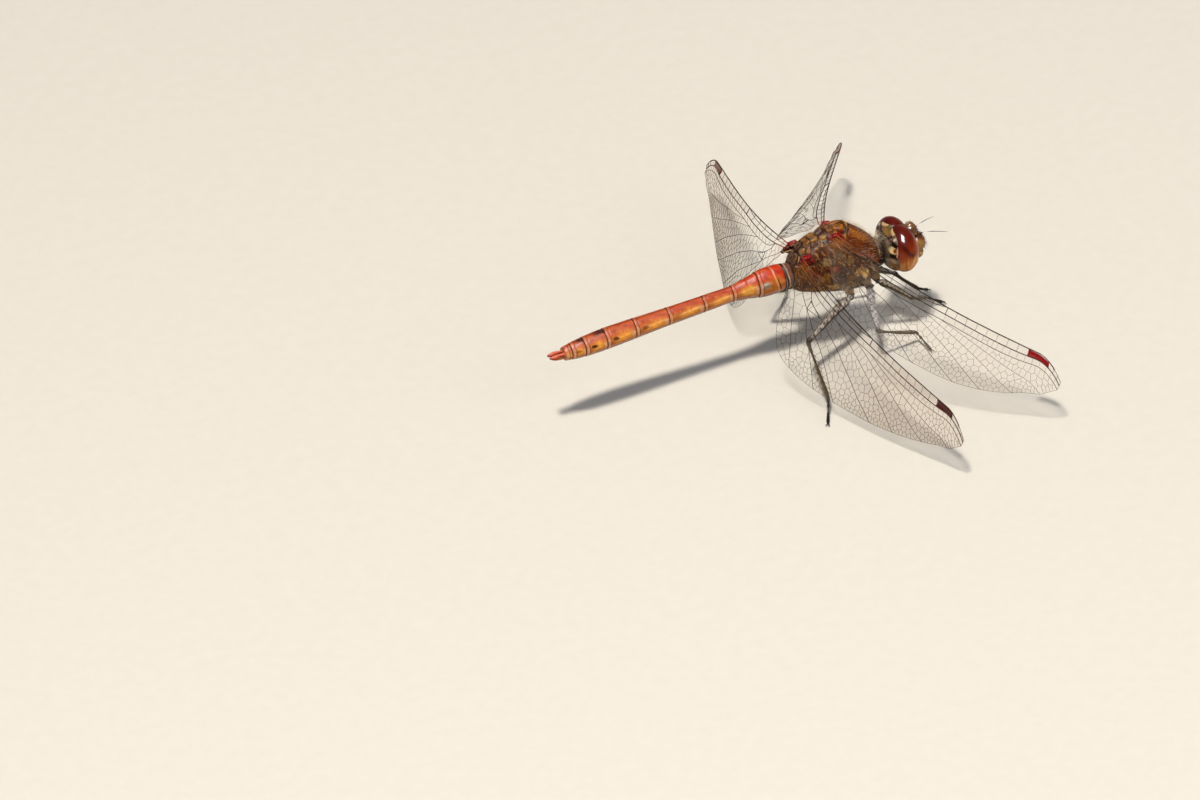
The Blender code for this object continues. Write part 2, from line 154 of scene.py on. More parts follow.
# Floor: a matt laminate table top with a faint grain, too large for its edge to show.
FLOOR_SIZE = 6000.0
FLOOR_LEVEL = -0.02
FLOOR_GRAIN = 1 / 0.7
select_only()
bpy.ops.mesh.primitive_plane_add(size=FLOOR_SIZE * MM, location=(0, 0, FLOOR_LEVEL * MM))
floor = bpy.context.active_object
floor.name = "floor"
bpy.ops.object.transform_apply(location=True)
laminate, shader = new_material("matt_table_laminate", {"Roughness": 0.75, "Specular IOR Level": 0.15})
where = add_node(laminate, "ShaderNodeTexCoord", ())
grain = add_node(laminate, "ShaderNodeTexNoise", (("Scale", 1 / (FLOOR_GRAIN * MM)), ("Detail", 3.0)),
                 (("Vector", where, "Object"),))
tone = add_node(laminate, "ShaderNodeMix",
                (("data_type", "RGBA"), (6, (*linear("#D5D1C9"), 1)), (7, (*linear("#DBD8D1"), 1))), ((0, grain, 0),))
link(laminate, tone, 2, shader, "Base Color")
floor.data.materials.append(laminate)

# ================================================================ thorax
# The wing-bearing box of the body: stiff brown cuticle plates joined along dark sunk seams that slope
# from the wing roots down to the leg roots, with a raised ridge along the middle of its front face.
THORAX_ROUNDNESS = 2.3
THORAX_TOP_NARROWING = 0.22
SEAM_DEPTH = 0.06
SEAM_SWELL = 0.05
RIDGE_HEIGHT = 0.1
TROUGH_DEPTH = 0.16
RIM_OF_BACK = 6.42     # the raised pale rim before the forewings
FOLD_OF_BACK = 6.62    # the dark fold ahead of it
# Sections across it: how far forward, top, bottom and half width.
THORAX_SECTIONS = ((-0.02, 1.3, -1.3, 1.18), (0.5, 2.3, -1.7, 1.68), (1.6, 3.32, -2.15, 2.08),
                   (3.3, 3.88, -2.6, 2.38), (4.8, 4.24, -3.0, 2.52), (6.2, 4.18, -3.25, 2.52),
                   (7.4, 3.34, -3.15, 2.32), (8.4, 2.42, -2.7, 1.95), (9.1, 1.6, -2.15, 1.5),
                   (9.5, 0.95, -1.6, 1.0))
# Seams of the flank from the humeral one back, as (forward, up) points, each with its half width.
FLANK_SEAMS = (
    (((5.0, 2.75), (5.75, 2.15), (6.5, 1.4), (7.5, 0.55), (8.4, -0.15), (8.7, -1.1)), 0.055),
    (((4.3, 2.65), (4.9, 1.3), (6.0, -0.7), (6.7, -1.3), (6.9, -2.5)), 0.032),
    (((2.3, 2.15), (3.0, 0.9), (4.4, -0.9), (4.7, -1.5), (5.4, -2.7)), 0.04),
    (((0.75, 1.3), (1.5, -0.4), (3.0, -2.3)), 0.032),
)
# Plates of the back between the wings: (forward, aside), half sizes, turn in degrees, height and colour.
BACK_PLATES = (
    ((5.42, 0.5), (0.66, 0.4), 10, 0.42, "#8C5418"), ((4.5, 0.4), (0.34, 0.34), -12, 0.36, "#74461A"),
    ((3.42, 0.0), (0.46, 0.35), 0, 0.6, "#5E484E"), ((3.62, 0.74), (0.38, 0.22), 25, 0.3, "#8E6838"),
    ((4.22, 1.02), (0.27, 0.21), 35, 0.26, "#6A2A16"), ((4.86, 0.98), (0.24, 0.18), -20, 0.24, "#96662E"),
    ((2.72, 0.44), (0.42, 0.36), 10, 0.38, "#865C24"), ((1.95, 0.4), (0.3, 0.32), -10, 0.32, "#74481A"),
    ((1.18, 0.0), (0.38, 0.31), 0, 0.5, "#45302F"), ((1.28, 0.66), (0.34, 0.18), 25, 0.24, "#7C5C38"),
    ((2.42, 0.98), (0.26, 0.2), 40, 0.26, "#54302C"), ((1.82, 1.04), (0.24, 0.17), -15, 0.22, "#8A5C34"),
    ((3.1, 1.12), (0.24, 0.17), 10, 0.2, "#7A4A34"), ((0.52, 0.4), (0.26, 0.34), 0, 0.26, "#5E463E"),
)
# Patches of the flank: (forward, up), half sizes, colour, strength.
FLANK_PATCHES = (
    ((3.35, 1.65), (0.95, 0.45), "#766048", 0.9), ((4.6, 2.0), (0.7, 0.4), "#6C5A4C", 0.85),
    ((5.66, 1.25), (0.6, 0.5), "#745434", 0.85), ((3.8, 0.7), (0.75, 0.42), "#6A260E", 0.95),
    ((4.75, -0.25), (0.55, 0.62), "#30120C", 0.9), ((5.62, -0.6), (0.5, 0.85), "#6A441E", 0.9),
    ((6.6, -0.4), (0.62, 0.6), "#A2743A", 0.95), ((6.45, 0.9), (0.55, 0.26), "#3E180C", 0.9),
    ((2.8, -0.2), (0.9, 0.7), "#744A20", 0.85), ((1.9, 0.57), (0.6, 0.5), "#50200E", 0.85),
    ((0.95, -0.4), (0.6, 0.75), "#44200E", 0.85), ((3.95, -1.5), (0.85, 0.5), "#98743C", 0.85),
    ((5.0, -1.75), (0.5, 0.4), "#6E4A2E", 0.85), ((6.05, -1.8), (0.5, 0.45), "#7A6440", 0.85),
    ((2.1, -1.35), (0.8, 0.5), "#8A5A24", 0.85),
)
# Paler shields over the leg roots: (forward, up), half sizes, colour.
LEG_SHIELDS = (((7.3, -0.95), (0.42, 0.6), "#D8B478"), ((5.2, -2.2), (0.45, 0.3), "#A88C60"),
               ((8.35, -0.9), (0.3, 0.45), "#A0785A"), ((2.9, -1.9), (0.5, 0.3), "#A07A48"))


def curve(table, x):
    """Smooth value at x of a table of (position, value) pairs."""
    places, values = np.array(table, dtype=float).T
    slopes = np.gradient(values, places)
    x = np.clip(x, places[0], places[-1])
    i = np.clip(np.searchsorted(places, x, side="right") - 1, 0, len(places) - 2)
    width = places[i + 1] - places[i]
    t = (x - places[i]) / width
    return ((2 * t ** 3 - 3 * t ** 2 + 1) * values[i] + (t ** 3 - 2 * t ** 2 + t) * width * slopes[i]
            + (3 * t ** 2 - 2 * t ** 3) * values[i + 1] + (t ** 3 - t ** 2) * width * slopes[i + 1])


def rise(low, high, x):
    """Smooth step from 0 at low to 1 at high."""
    t = np.clip((x - low) / (high - low), 0, 1)
    return t * t * (3 - 2 * t)


def fall(low, high, x):
    """Smooth step from 1 at low to 0 at high."""
    return 1 - rise(low, high, x)


def bell(x, width):
    """1 where x is 0, dying away on both sides over about that width."""
    return np.exp(-(x / width) ** 2)


def blot(distance, radius):
    """1 inside a soft-edged spot of that radius, 0 outside."""
    return fall(radius * 0.75, radius * 1.2, distance)


def oval(u, v, centre, half):
    """0 at the centre of an oval, 1 along its edge."""
    return np.hypot((u - centre[0]) / half[0], (v - centre[1]) / half[1])


def ripple(x, y, z, size):
    """A slow uneven swing between -1 and 1 with waves of about that size, the same in every run."""
    k = 2 * math.pi / size
    return (np.sin(k * (x + 0.6 * y + 0.3 * z) + 1.3 * np.sin(k * (0.7 * z - 0.5 * x)))
            + np.sin(k * (0.8 * z - 0.7 * y) + 1.7 * np.sin(k * (0.6 * x + 0.4 * y)))) / 2


def distance_to_line(u, v, corners):
    """Distance in a plane from each (u, v) to the nearest point of a bent line."""
    best = np.full(np.shape(u), 1e9)
    for (u0, v0), (u1, v1) in zip(corners, corners[1:]):
        du, dv = u1 - u0, v1 - v0
        t = np.clip(((u - u0) * du + (v - v0) * dv) / (du * du + dv * dv), 0, 1)
        best = np.minimum(best, np.hypot(u - u0 - t * du, v - v0 - t * dv))
    return best


def plate_reach(x, y, z, centre, half, turn):
    """0 at the middle of a plate of the back, 1 along its blunt-cornered, slightly wavy edge."""
    c, s = math.cos(math.radians(turn)), math.sin(math.radians(turn))
    u, v = x - centre[0], np.abs(y) - centre[1]
    reach = (np.abs((u * c + v * s) / half[0]) ** 2.6 + np.abs((v * c - u * s) / half[1]) ** 2.6) ** (1 / 2.6)
    return reach + 0.1 * ripple(x * 1.4, y, z, 0.7)


def read_points(piece, field="co"):
    """The piece's points or their normals, one row each, as Blender holds them."""
    values = np.empty(len(piece.data.vertices) * 3)
    piece.data.vertices.foreach_get(field, values)
    return values.reshape(-1, 3)


def points_of(piece):
    """The piece's points in mm from the joint of thorax and abdomen, as three arrays."""
    return (read_points(piece) / MM - BODY_JOINT).T


def place_points(piece, points):
    """Move the piece's points to places in mm from the joint of thorax and abdomen."""
    piece.data.vertices.foreach_set("co", ((points + BODY_JOINT) * MM).ravel())
    piece.data.update()


def face_outwards(piece):
    """Turn every face of a closed piece outwards."""
    select_only(piece)
    bpy.ops.object.mode_set(mode="EDIT")
    bpy.ops.mesh.select_all(action="SELECT")
    bpy.ops.mesh.normals_make_consistent(inside=False)
    bpy.ops.object.mode_set(mode="OBJECT")


def painted(base, *marks):
    """Colours of a piece's points: a base under marks, each a colour and how much of it shows at each point."""
    colour = linear(base) if isinstance(base, str) else base
    for code, amount in marks:
        colour = colour + (linear(code) - colour) * np.clip(amount, 0, 1)[:, None]
    return colour


def paint(piece, colours):
    """Store a colour, with or without alpha, for each point of a piece."""
    layer = piece.data.color_attributes.new("pigment", "FLOAT_COLOR", "POINT")
    values = np.ones((len(piece.data.vertices), 4))
    values[:, :colours.shape[-1]] = colours
    layer.data.foreach_set("color", values.ravel())


def finish_piece(piece, material, slot, *nodes):
    """Give a finished piece its material and body and hide the solids that it stands for; the slot is not used."""
    piece.data.materials.clear()
    piece.data.materials.append(material)
    piece.data.shade_smooth()
    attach(piece, "root")
    if nodes:
        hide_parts(*nodes)


def sculpt(name, segments, rings, surface, pattern, *finish):
    """A ball with its points moved to surface(t, angle), t running from 0 to 1 between its poles, then painted."""
    select_only()
    bpy.ops.mesh.primitive_uv_sphere_add(segments=segments, ring_count=rings, radius=1.0)
    piece = bpy.context.active_object
    piece.name = piece.data.name = name
    ball = read_points(piece)
    t = np.arccos(np.clip(-ball[:, 2], -1, 1)) / math.pi
    angle = np.arctan2(ball[:, 1], ball[:, 0])
    place_points(piece, np.stack(surface(t, angle), axis=1))
    face_outwards(piece)
    paint(piece, pattern(*points_of(piece), t, angle))
    if finish:
        finish_piece(piece, *finish)
    return piece


def chitin(name, finish, mottle, mottle_size, mottle_detail, surface, relief):
    """Chitin: its pigment set point by point and mottled, its surface textured with a fine relief."""
    material, shader = new_material(name, finish)
    pigment = add_node(material, "ShaderNodeAttribute", (("attribute_name", "pigment"),))
    where = add_node(material, "ShaderNodeTexCoord", ())
    cloud = add_node(material, "ShaderNodeTexNoise", (("Scale", 1 / (mottle_size * MM)), ("Detail", mottle_detail)),
                     (("Vector", where, "Object"),))
    spread = add_node(material, "ShaderNodeMapRange",
                      (("From Min", 0.3), ("From Max", 0.7), ("To Min", 1 - mottle), ("To Max", 1 + mottle)),
                      (("Value", cloud, 0),))
    mottled = add_node(material, "ShaderNodeVectorMath", (("operation", "SCALE"),),
                       ((0, pigment, "Color"), ("Scale", spread, 0)))
    link(material, mottled, 0, shader, "Base Color")
    grains = add_node(material, *surface, (("Vector", where, "Object"),))
    bump = add_node(material, "ShaderNodeBump", relief, (("Height", grains, 0),))
    link(material, bump, 0, shader, "Normal")
    return material


def cuticle(name, roughness, coat, mottle, mottle_size, grain_size, relief):
    """Insect cuticle: hardened mottled chitin with a fine grain, satin to waxy in the light."""
    finish = {"Roughness": roughness, "Coat Weight": coat, "Coat Roughness": 0.2, "Specular IOR Level": 0.08}
    return chitin(name, finish, mottle, mottle_size, 4.0,
                  ("ShaderNodeTexNoise", (("Scale", 1 / (grain_size * MM)), ("Detail", 3.0))),
                  (("Strength", 1.0), ("Distance", relief * MM)))


def thorax_surface(t, angle):
    """The lofted box with its seams, ridge and swollen plates."""
    rear, front = THORAX_SECTIONS[0][0], THORAX_SECTIONS[-1][0]
    x = rear + (front - rear) * t
    cap = np.minimum(1, np.minimum(t, 1 - t) / 0.015)
    top, bottom, half = (curve([(s[0], s[k]) for s in THORAX_SECTIONS], x) for k in (1, 2, 3))
    side, rising = (np.sign(w) * np.abs(w) ** (2 / THORAX_ROUNDNESS) * cap for w in (np.cos(angle), np.sin(angle)))
    y = side * (half * (1 - THORAX_TOP_NARROWING * np.maximum(0, rising)))
    z = (top + bottom) / 2 + rising * (top - bottom) / 2
    flank = rise(0.7, 1.3, np.abs(y))
    swell = 0.03 * ripple(x, 0, z, 2.6)
    for corners, half_width in FLANK_SEAMS:
        near = distance_to_line(x, z, corners)
        swell += flank * (SEAM_SWELL * bell(near, 0.55) - (SEAM_SWELL + SEAM_DEPTH) * bell(near, 2.2 * half_width))
    swell += rise(5.9, 6.8, x) * RIDGE_HEIGHT * bell(y, 0.09) * (rising > 0)
    back = rise(0.1, 0.5, x) * rise(0.45, 0.75, rising) * fall(1.0, 1.45, np.abs(y) + 0.14 * ripple(x, 0, 0, 1.3))
    swell -= TROUGH_DEPTH * back * fall(5.9, 6.25, x)
    raised = 0 * x
    for centre, half, turn, height, code in BACK_PLATES:
        reach = plate_reach(x, y, z, centre, half, turn)
        raised = np.maximum(raised, height * 0.72 * (0.8 * fall(0.8, 1.06, reach)
                                                     + 0.2 * np.maximum(0, 1 - reach ** 2)))
    swell += back * raised
    fore_edge = x + 0.35 * y * y
    swell += (0.09 * bell(fore_edge - RIM_OF_BACK, 0.1) - 0.08 * bell(fore_edge - FOLD_OF_BACK, 0.07)) * back
    swell *= cap
    return x, y + swell * side, z + swell * rising


def thorax_pattern(x, y, z, *_):
    """Amber, rust and cream patches between black seams, painted glints on the flank, an amber front with a painted
    highlight band, and the plates of the back.
    """
    across = np.abs(y)
    flank = rise(0.55, 1.1, across)
    fore_edge = x + 0.35 * y * y
    humeral_height = 2.75 - 0.826 * (x - 5.0)
    panel = rise(6.45, 6.75, fore_edge) * rise(-0.12, 0.1, z - humeral_height) * rise(-1.6, -0.6, z)
    broken = rise(-0.5, 0.4, ripple(x, y, z, 1.1))
    above = rise(0.45, 0.75, (z - 0.5) / 3.2) * (across < 1.5)
    between = (rise(0.1, 0.5, x) * fall(6.1, 6.4, x) * rise(0.2, 0.8, z - 0.4 - 0.42 * x)
               * fall(1.0, 1.4, across + 0.14 * ripple(x, 0, 0, 1.3)))
    marks = [("#724614", rise(2.6, 3.6, z))]
    for centre, half, code, amount in FLANK_PATCHES:
        marks.append((code, amount * fall(0.72, 1.1, oval(x, z, centre, half) + 0.3 * ripple(x, y, z, 0.62)) * flank))
    # A painted highlight: a lit band across the amber front plates.
    streak = distance_to_line(x, across, ((6.3, 0.95), (7.2, 1.1), (8.1, 0.95)))
    bloom = distance_to_line(x, z, ((6.9, 1.45), (7.6, 0.95), (8.3, 0.45)))
    marks += (
        ("#B8864E", flank * rise(0.55, 0.85, ripple(x * 1.1 + 2, y, z * 1.2, 0.85)) * 0.35),  # pale flecks: painted glints
        ("#5C2A0A", panel * 0.95), ("#94561C", panel * fall(0.1, 0.6, streak)),  # front plates, with a painted highlight band along them
        ("#481A06", panel * fall(0.3, 0.9, oval(x, z, (7.9, 1.9), (0.7, 0.5))) * 0.7),
        ("#74403C", panel * fall(0.1, 0.45, bloom) * 0.9),  # mauve bloom
        ("#4A2A14", fall(-3.0, -2.1, z)))  # underside
    for centre, half, code in LEG_SHIELDS:
        marks.append((code, fall(0.5, 1.2, oval(x, z, centre, half)) * flank * 0.85))
    for corners, half_width in FLANK_SEAMS:
        near = distance_to_line(x, z, corners)
        marks += (("#A07C4C", flank * bell(near - 3.2 * half_width, 0.05) * 0.45 * broken),
                  ("#120806", flank * fall(half_width, 2.8 * half_width, near) * (0.55 + 0.45 * broken)))
    marks += (
        ("#140A06", flank * np.exp(-(np.hypot((x - 5.55) / 0.6, (z + 0.15)) / 0.13) ** 4)),  # breathing hole
        ("#180C08", flank * (1 - panel) * rise(0.25, 0.75, ripple(x * 1.3, y, z, 0.95)) * 0.6),  # freckles
        ("#B48850", above * bell(fore_edge - RIM_OF_BACK, 0.09) * 0.8),
        ("#0E0705", above * bell(fore_edge - FOLD_OF_BACK, 0.07)),
        ("#241008", bell(across, 0.05) * rise(6.4, 6.9, x) * rise(0.5, 1.0, z) * 0.8),  # ridge of the front
        ("#2A160C", between * 0.92))
    for centre, half, turn, height, code in BACK_PLATES:
        reach = plate_reach(x, y, z, centre, half, turn)
        marks += ((code, between * fall(0.84, 1.02, reach)),
                  ("#2A120A", between * fall(0.0, 0.5, np.abs(reach - 0.25)) * 0.45),
                  ("#C09860", between * bell(reach - 0.76, 0.06) * 0.15))
    colour = painted("#4A2610", *marks, ("#2A1620", rise(9.0, 9.3, x) * 0.85), ("#4A3830", fall(0.0, 0.45, x) * 0.8))
    return colour * (1.02 + 0.14 * ripple(x, y, z, 0.9) + 0.1 * ripple(y, z, x, 0.37))[:, None] * (1.0, 0.94, 0.72)


# Thorax cuticle: dull and granular, clouded in patches, so that it takes the light like weathered leather.
thorax_cuticle = cuticle("thorax_cuticle", 0.42, 0.0, 0.42, 0.3, 0.06, 0.016)
thorax = sculpt("thorax_skin", 288, 200, thorax_surface, thorax_pattern, thorax_cuticle, "thorax", "thorax")

# ---------------------------------------------------------------- wing hinges
# At each wing root a knot of small creased plates, dark red, brown and cream, carries the wing, and a
# thin pale cord runs from the back to the wing's rear corner.
SIDES = (("right", -1), ("left", 1))
HINGES = {"fore": (4.85, 1.28, 3.8), "hind": (1.25, 1.62, 2.5)}
# Plates of a hinge: offset from it, half sizes, colour.
HINGE_KNOBS = (
    ((0.04, -0.02, -0.16), (0.52, 0.34, 0.4), "#7C0A08"), ((0.44, 0.1, -0.54), (0.36, 0.24, 0.36), "#8C0E08"),
    ((-0.42, -0.02, -0.36), (0.32, 0.26, 0.28), "#6E0A0C"), ((-0.76, 0.02, -0.48), (0.28, 0.24, 0.2), "#4A1A14"),
    ((0.02, 0.16, -0.66), (0.34, 0.2, 0.3), "#7E0C0A"), ((-0.4, 0.12, -0.78), (0.3, 0.18, 0.22), "#5C1A14"),
    ((0.52, -0.34, 0.02), (0.28, 0.22, 0.18), "#5A100E"), ((-0.98, 0.06, -0.68), (0.26, 0.2, 0.18), "#7A5A42"),
    ((0.76, 0.0, -0.72), (0.2, 0.18, 0.24), "#4A1E14"), ((-0.1, -0.38, -0.02), (0.32, 0.2, 0.16), "#6E3A1C"),
    ((0.2, 0.14, -1.02), (0.24, 0.16, 0.2), "#A88054"), ((-0.06, 0.2, -0.3), (0.22, 0.16, 0.2), "#A01C10"),
)
CORDS = {"fore": ((3.5, 0.22, 3.55), (3.38, 0.85, 3.36), (3.1, 1.55, 3.16)),
         "hind": ((1.15, 0.22, 2.58), (0.8, 0.9, 2.22), (0.1, 1.62, 1.72))}
CORD_RADII = ((0, 0.065), (0.5, 0.065), (1, 0.05))


def mirrored(points, side):
    """The points on that side of the animal; side is -1 at the right and 1 at the left."""
    return [(x, side * y, z) for x, y, z in points]


def join(pieces, name):
    """Join pieces into one of that name."""
    select_only(*pieces)
    if len(pieces) > 1:
        bpy.ops.object.join()
    pieces[0].name = pieces[0].data.name = name
    return pieces[0]


def ball_surface(centre, half):
    """The surface of a rounded knob."""
    def surface(t, angle):
        ring = np.sin(math.pi * t)
        return (centre[0] + half[0] * np.cos(angle) * ring, centre[1] + half[1] * np.sin(angle) * ring,
                centre[2] - half[2] * np.cos(math.pi * t))
    return surface


def knob(centre, half, code, side):
    """One small creased plate with blunt corners and darker edges low down."""
    def surface(t, angle):
        x, y, z = ball_surface((0, 0, 0), (1, 1, 1))(t, angle)
        blunt = (np.abs(x) ** 3.2 + np.abs(y) ** 3.2 + np.abs(z) ** 3.2) ** (-1 / 3.2)
        crease = 1 - 0.22 * bell(x * 0.8 + y * 0.5 + 0.15, 0.16)
        scale = blunt * crease * (1 + 0.1 * ripple(x + centre[0], y, z + centre[1], 1.3))
        x, y, z = (middle + place * scale * size for middle, place, size in zip(centre, (x, y, z), half))
        return x, side * y, z
    return sculpt("knob", 36, 28, surface, lambda x, y, z, t, angle: painted(
        code, ("#1C0A06", fall(0.4, 0.78, t + 0.08 * np.sin(3 * angle)))))


def tube_surface(path, radii, flatten=1.0):
    """The surface of a tapering tube along a path; radii are (share of length, radius) pairs."""
    path = np.array(path, dtype=float)
    reach = np.concatenate(([0], np.cumsum(np.linalg.norm(np.diff(path, axis=0), axis=1))))
    reach /= reach[-1]

    def along_path(share):
        share = np.clip(share, 0, 1)
        return np.stack([curve(np.stack((reach, column), axis=1), share) for column in path.T], axis=1)

    def surface(t, angle):
        cap = np.sqrt(np.clip(np.minimum(t, 1 - t) / 0.035, 0, 1))
        share = np.clip((t - 0.02) / 0.96, 0, 1)
        along = along_path(share + 0.02) - along_path(share - 0.02)
        along /= np.linalg.norm(along, axis=1)[:, None]
        upper = (0.0, 0.0, 1.0) - along[:, 2:] * along
        upper /= np.linalg.norm(upper, axis=1)[:, None]
        radius = curve(radii, share) * cap
        return (along_path(share) + upper * (np.sin(angle) * radius)[:, None]
                + np.cross(along, upper) * (np.cos(angle) * radius * flatten)[:, None]).T
    return surface


# Hinge cuticle: strongly clouded and a little glossier, so that the small red plates stand apart.
hinge_cuticle = cuticle("hinge_cuticle", 0.34, 0.04, 0.4, 0.16, 0.04, 0.012)
for pair, hinge in HINGES.items():
    for hand, side in SIDES:
        parts = [knob(np.add(hinge, offset), half, code, side) for offset, half, code in HINGE_KNOBS]
        parts.append(sculpt("cord", 12, 24, tube_surface(mirrored(CORDS[pair], side), CORD_RADII),
                            lambda x, y, z, t, angle: painted("#A88654", ("#4A2C18", fall(0.1, 0.4, t)))))
        finish_piece(join(parts, "wing_%s_%s_hinge" % (pair, hand)), hinge_cuticle, "thorax")

# ---------------------------------------------------------------- prothorax
# The narrow neck ring: a dark barrel with a waist. Next to the thorax its back is raised in an upright lobe
# with a pale rim, which carries a fringe of long pale hairs.
PROTHORAX = ((9.62, 0.0, -0.45), (0.62, 1.3, 1.52))
LOBE = 9.42
WAIST = 9.68


def prothorax_surface(t, angle):
    """A barrel with a waist, its back raised in a lobe."""
    x, y, z = ball_surface(*PROTHORAX)(t, angle)
    swell = 1 + (0.22 * bell(x - LOBE, 0.16) * rise(-0.2, 1.0, z) - 0.16 * bell(x - WAIST, 0.1)) / 1.3
    return x, y * swell, PROTHORAX[0][2] + (z - PROTHORAX[0][2]) * swell


prothorax = sculpt("prothorax_skin", 96, 72, prothorax_surface, lambda x, y, z, *_: painted(
    "#3A1C16",
    ("#220E10", blot(np.abs(x - WAIST - 0.02), 0.14)),
    ("#8E6E54", blot(np.abs(x - LOBE), 0.05) * rise(-0.5, 0.4, z)),
    ("#7A5A44", blot(np.hypot(y, z - 0.8), 0.35) * rise(9.7, 9.85, x)),
    ("#5A4238", fall(-1.6, -0.9, z))), thorax_cuticle, "thorax", "prothorax")

# ================================================================ head
# A short capsule, hollow behind, nearly all taken up by two eyes that meet on top. Its rear wall and
# the temples behind each eye are patterned in yellow, black, orange and grey.
CAPSULE = ((11.1, 0.0, -0.5), (1.15, 2.75, 2.1))
EYE_CENTRE = (11.88, 0.9, -0.2)
EYE_HALF = (1.6, 2.4, 2.41)
EYE_GAP = 0.012
TEMPLE_SCALE = 1.012
UNDER_EYE_SCALE = 0.97
# Head cuticle: smoother and waxed, its pale patches catching a soft gleam.
head_cuticle = cuticle("head_cuticle", 0.38, 0.12, 0.14, 0.2, 0.04, 0.006)


def eye_margin(y, z):
    """How far forward the rear edge of an eye lies."""
    return 10.74 + 0.14 * z + 0.04 * np.maximum(0, z) ** 2 + 0.35 * bell(y, 0.5)


def temple_pattern(x, y, z, *_):
    """Pattern of the rear of the head, from its middle outwards."""
    y = np.abs(y)

    def spot(code, aside, up, wide, high, edge):
        return code, blot(oval(y, z, (aside, up), (wide, high)), edge)

    def line(code, width, *corners):
        return code, blot(distance_to_line(y, z, corners), width)

    return painted(
        "#66543E",
        spot("#6E5A34", 0, 1.55, 1.2, 0.5, 0.8), spot("#8A6834", 0.45, 1.55, 0.9, 0.35, 0.6),
        spot("#7A5E5C", 0.95, 1.35, 0.7, 0.6, 0.6), line("#3E2410", 0.13, (1.25, 1.7), (0.9, 1.3), (0.42, 1.18)),
        spot("#7A5C56", 0.9, 0.95, 0.7, 0.3, 0.6), spot("#5C5848", 1.15, 0.1, 0.5, 1.0, 0.7),
        line("#CDA878", 0.2, (0.62, 2.02), (1.2, 1.9)), spot("#D8C0B4", 1.73, 1.5, 1, 1, 0.15),
        spot("#EAC890", 1.95, 0.52, 0.62, 0.4, 0.9), spot("#7A3A08", 2.22, 0.54, 0.9, 1, 0.24),
        ("#080203", blot(np.maximum(np.abs(y - 2.02) / 0.46, np.abs(z - 1.05 + 0.25 * (y - 2.0)) / 0.21), 0.95)),
        ("#080202", blot(np.maximum(np.abs(y - 2.16) / 0.5, np.abs(z + 0.06) / 0.23), 0.95)),
        spot("#A08468", 2.1, -0.62, 0.5, 0.35, 0.8), spot("#8A5A2C", 1.9, -1.35, 0.8, 0.5, 0.8),
        line("#9C9480", 0.16, (0.8, -0.9), (1.5, -0.7)), spot("#4A4038", 1.1, -1.35, 0.5, 0.35, 0.7),
        ("#241410", bell(z - 1.22 - 0.1 * np.sin(5 * y), 0.07) * (y < 1.7) * 0.75),
        ("#241612", bell(y - 1.45 - 0.12 * np.sin(3 * z), 0.06) * (z < 1.2) * 0.6),
    ) * (0.86 + 0.12 * ripple(x, y, z, 0.5))[:, None]


def capsule_surface(t, angle):
    """The rear wall, dished around the neck."""
    x, y, z = ball_surface(*CAPSULE)(t, angle)
    dish = 0.3 * bell(y, 1.0) * bell(z + 0.4, 1.1) - 0.05 * bell(oval(y, z, (0, -0.3), (1.35, 1.25)) - 1, 0.12)
    return x + dish * (x < CAPSULE[0][0]), y, z


def halved_ball(side, scale_of):
    """An eye's egg shape, flat where it meets its neighbour on the middle plane."""
    def surface(t, angle):
        x, y, z = ball_surface((0, 0, 0), EYE_HALF)(t, angle)
        scale = scale_of(*(middle + place for middle, place in zip(EYE_CENTRE, (x, y, z))))
        x, y, z = (middle + place * scale for middle, place in zip(EYE_CENTRE, (x, y, z)))
        return x, side * np.maximum(y, EYE_GAP), z
    return surface


def temple_scale(x, y, z):
    """The temples stand proud of the eye behind its margin and lie under it ahead."""
    return UNDER_EYE_SCALE + (TEMPLE_SCALE - UNDER_EYE_SCALE) * fall(-0.03, 0.03, x - eye_margin(y, z))


capsule = sculpt("head_capsule", 160, 120, capsule_surface, temple_pattern, head_cuticle, "head", "head")
for hand, side in SIDES:
    sculpt("temple_" + hand, 160, 120, halved_ball(side, temple_scale), lambda x, y, z, *_: painted(
        temple_pattern(x, y, z),
        ("#B88868", blot(np.abs(x - eye_margin(y, z) + 0.05), 0.055) * rise(-1.6, -1.0, z) * fall(0.7, 1.1, z))),
        head_cuticle, "head")

# ---------------------------------------------------------------- eyes
# Compound eyes: thousands of tiny glass-clear lenses in a smooth glossy dome over pigment, maroon above, red brown at
# the side and pale orange below, with one paler streak on the side and one dark smear painted just below the highlight.
OMMATIDIUM = 0.035
# Eye cornea: clear and glossy over deep colour, with one sharp highlight broken by the facets.
eye_lens = chitin("eye_lens_cornea",
                  {"Roughness": 0.35, "Specular IOR Level": 0.05, "Coat Weight": 0.4, "Coat Roughness": 0.06},
                  0.15, 0.6, 3.0, ("ShaderNodeTexVoronoi", (("Scale", 1 / (OMMATIDIUM * MM)), ("Randomness", 0.25))),
                  (("Strength", 0.5), ("Distance", 0.002 * MM), ("invert", True)))


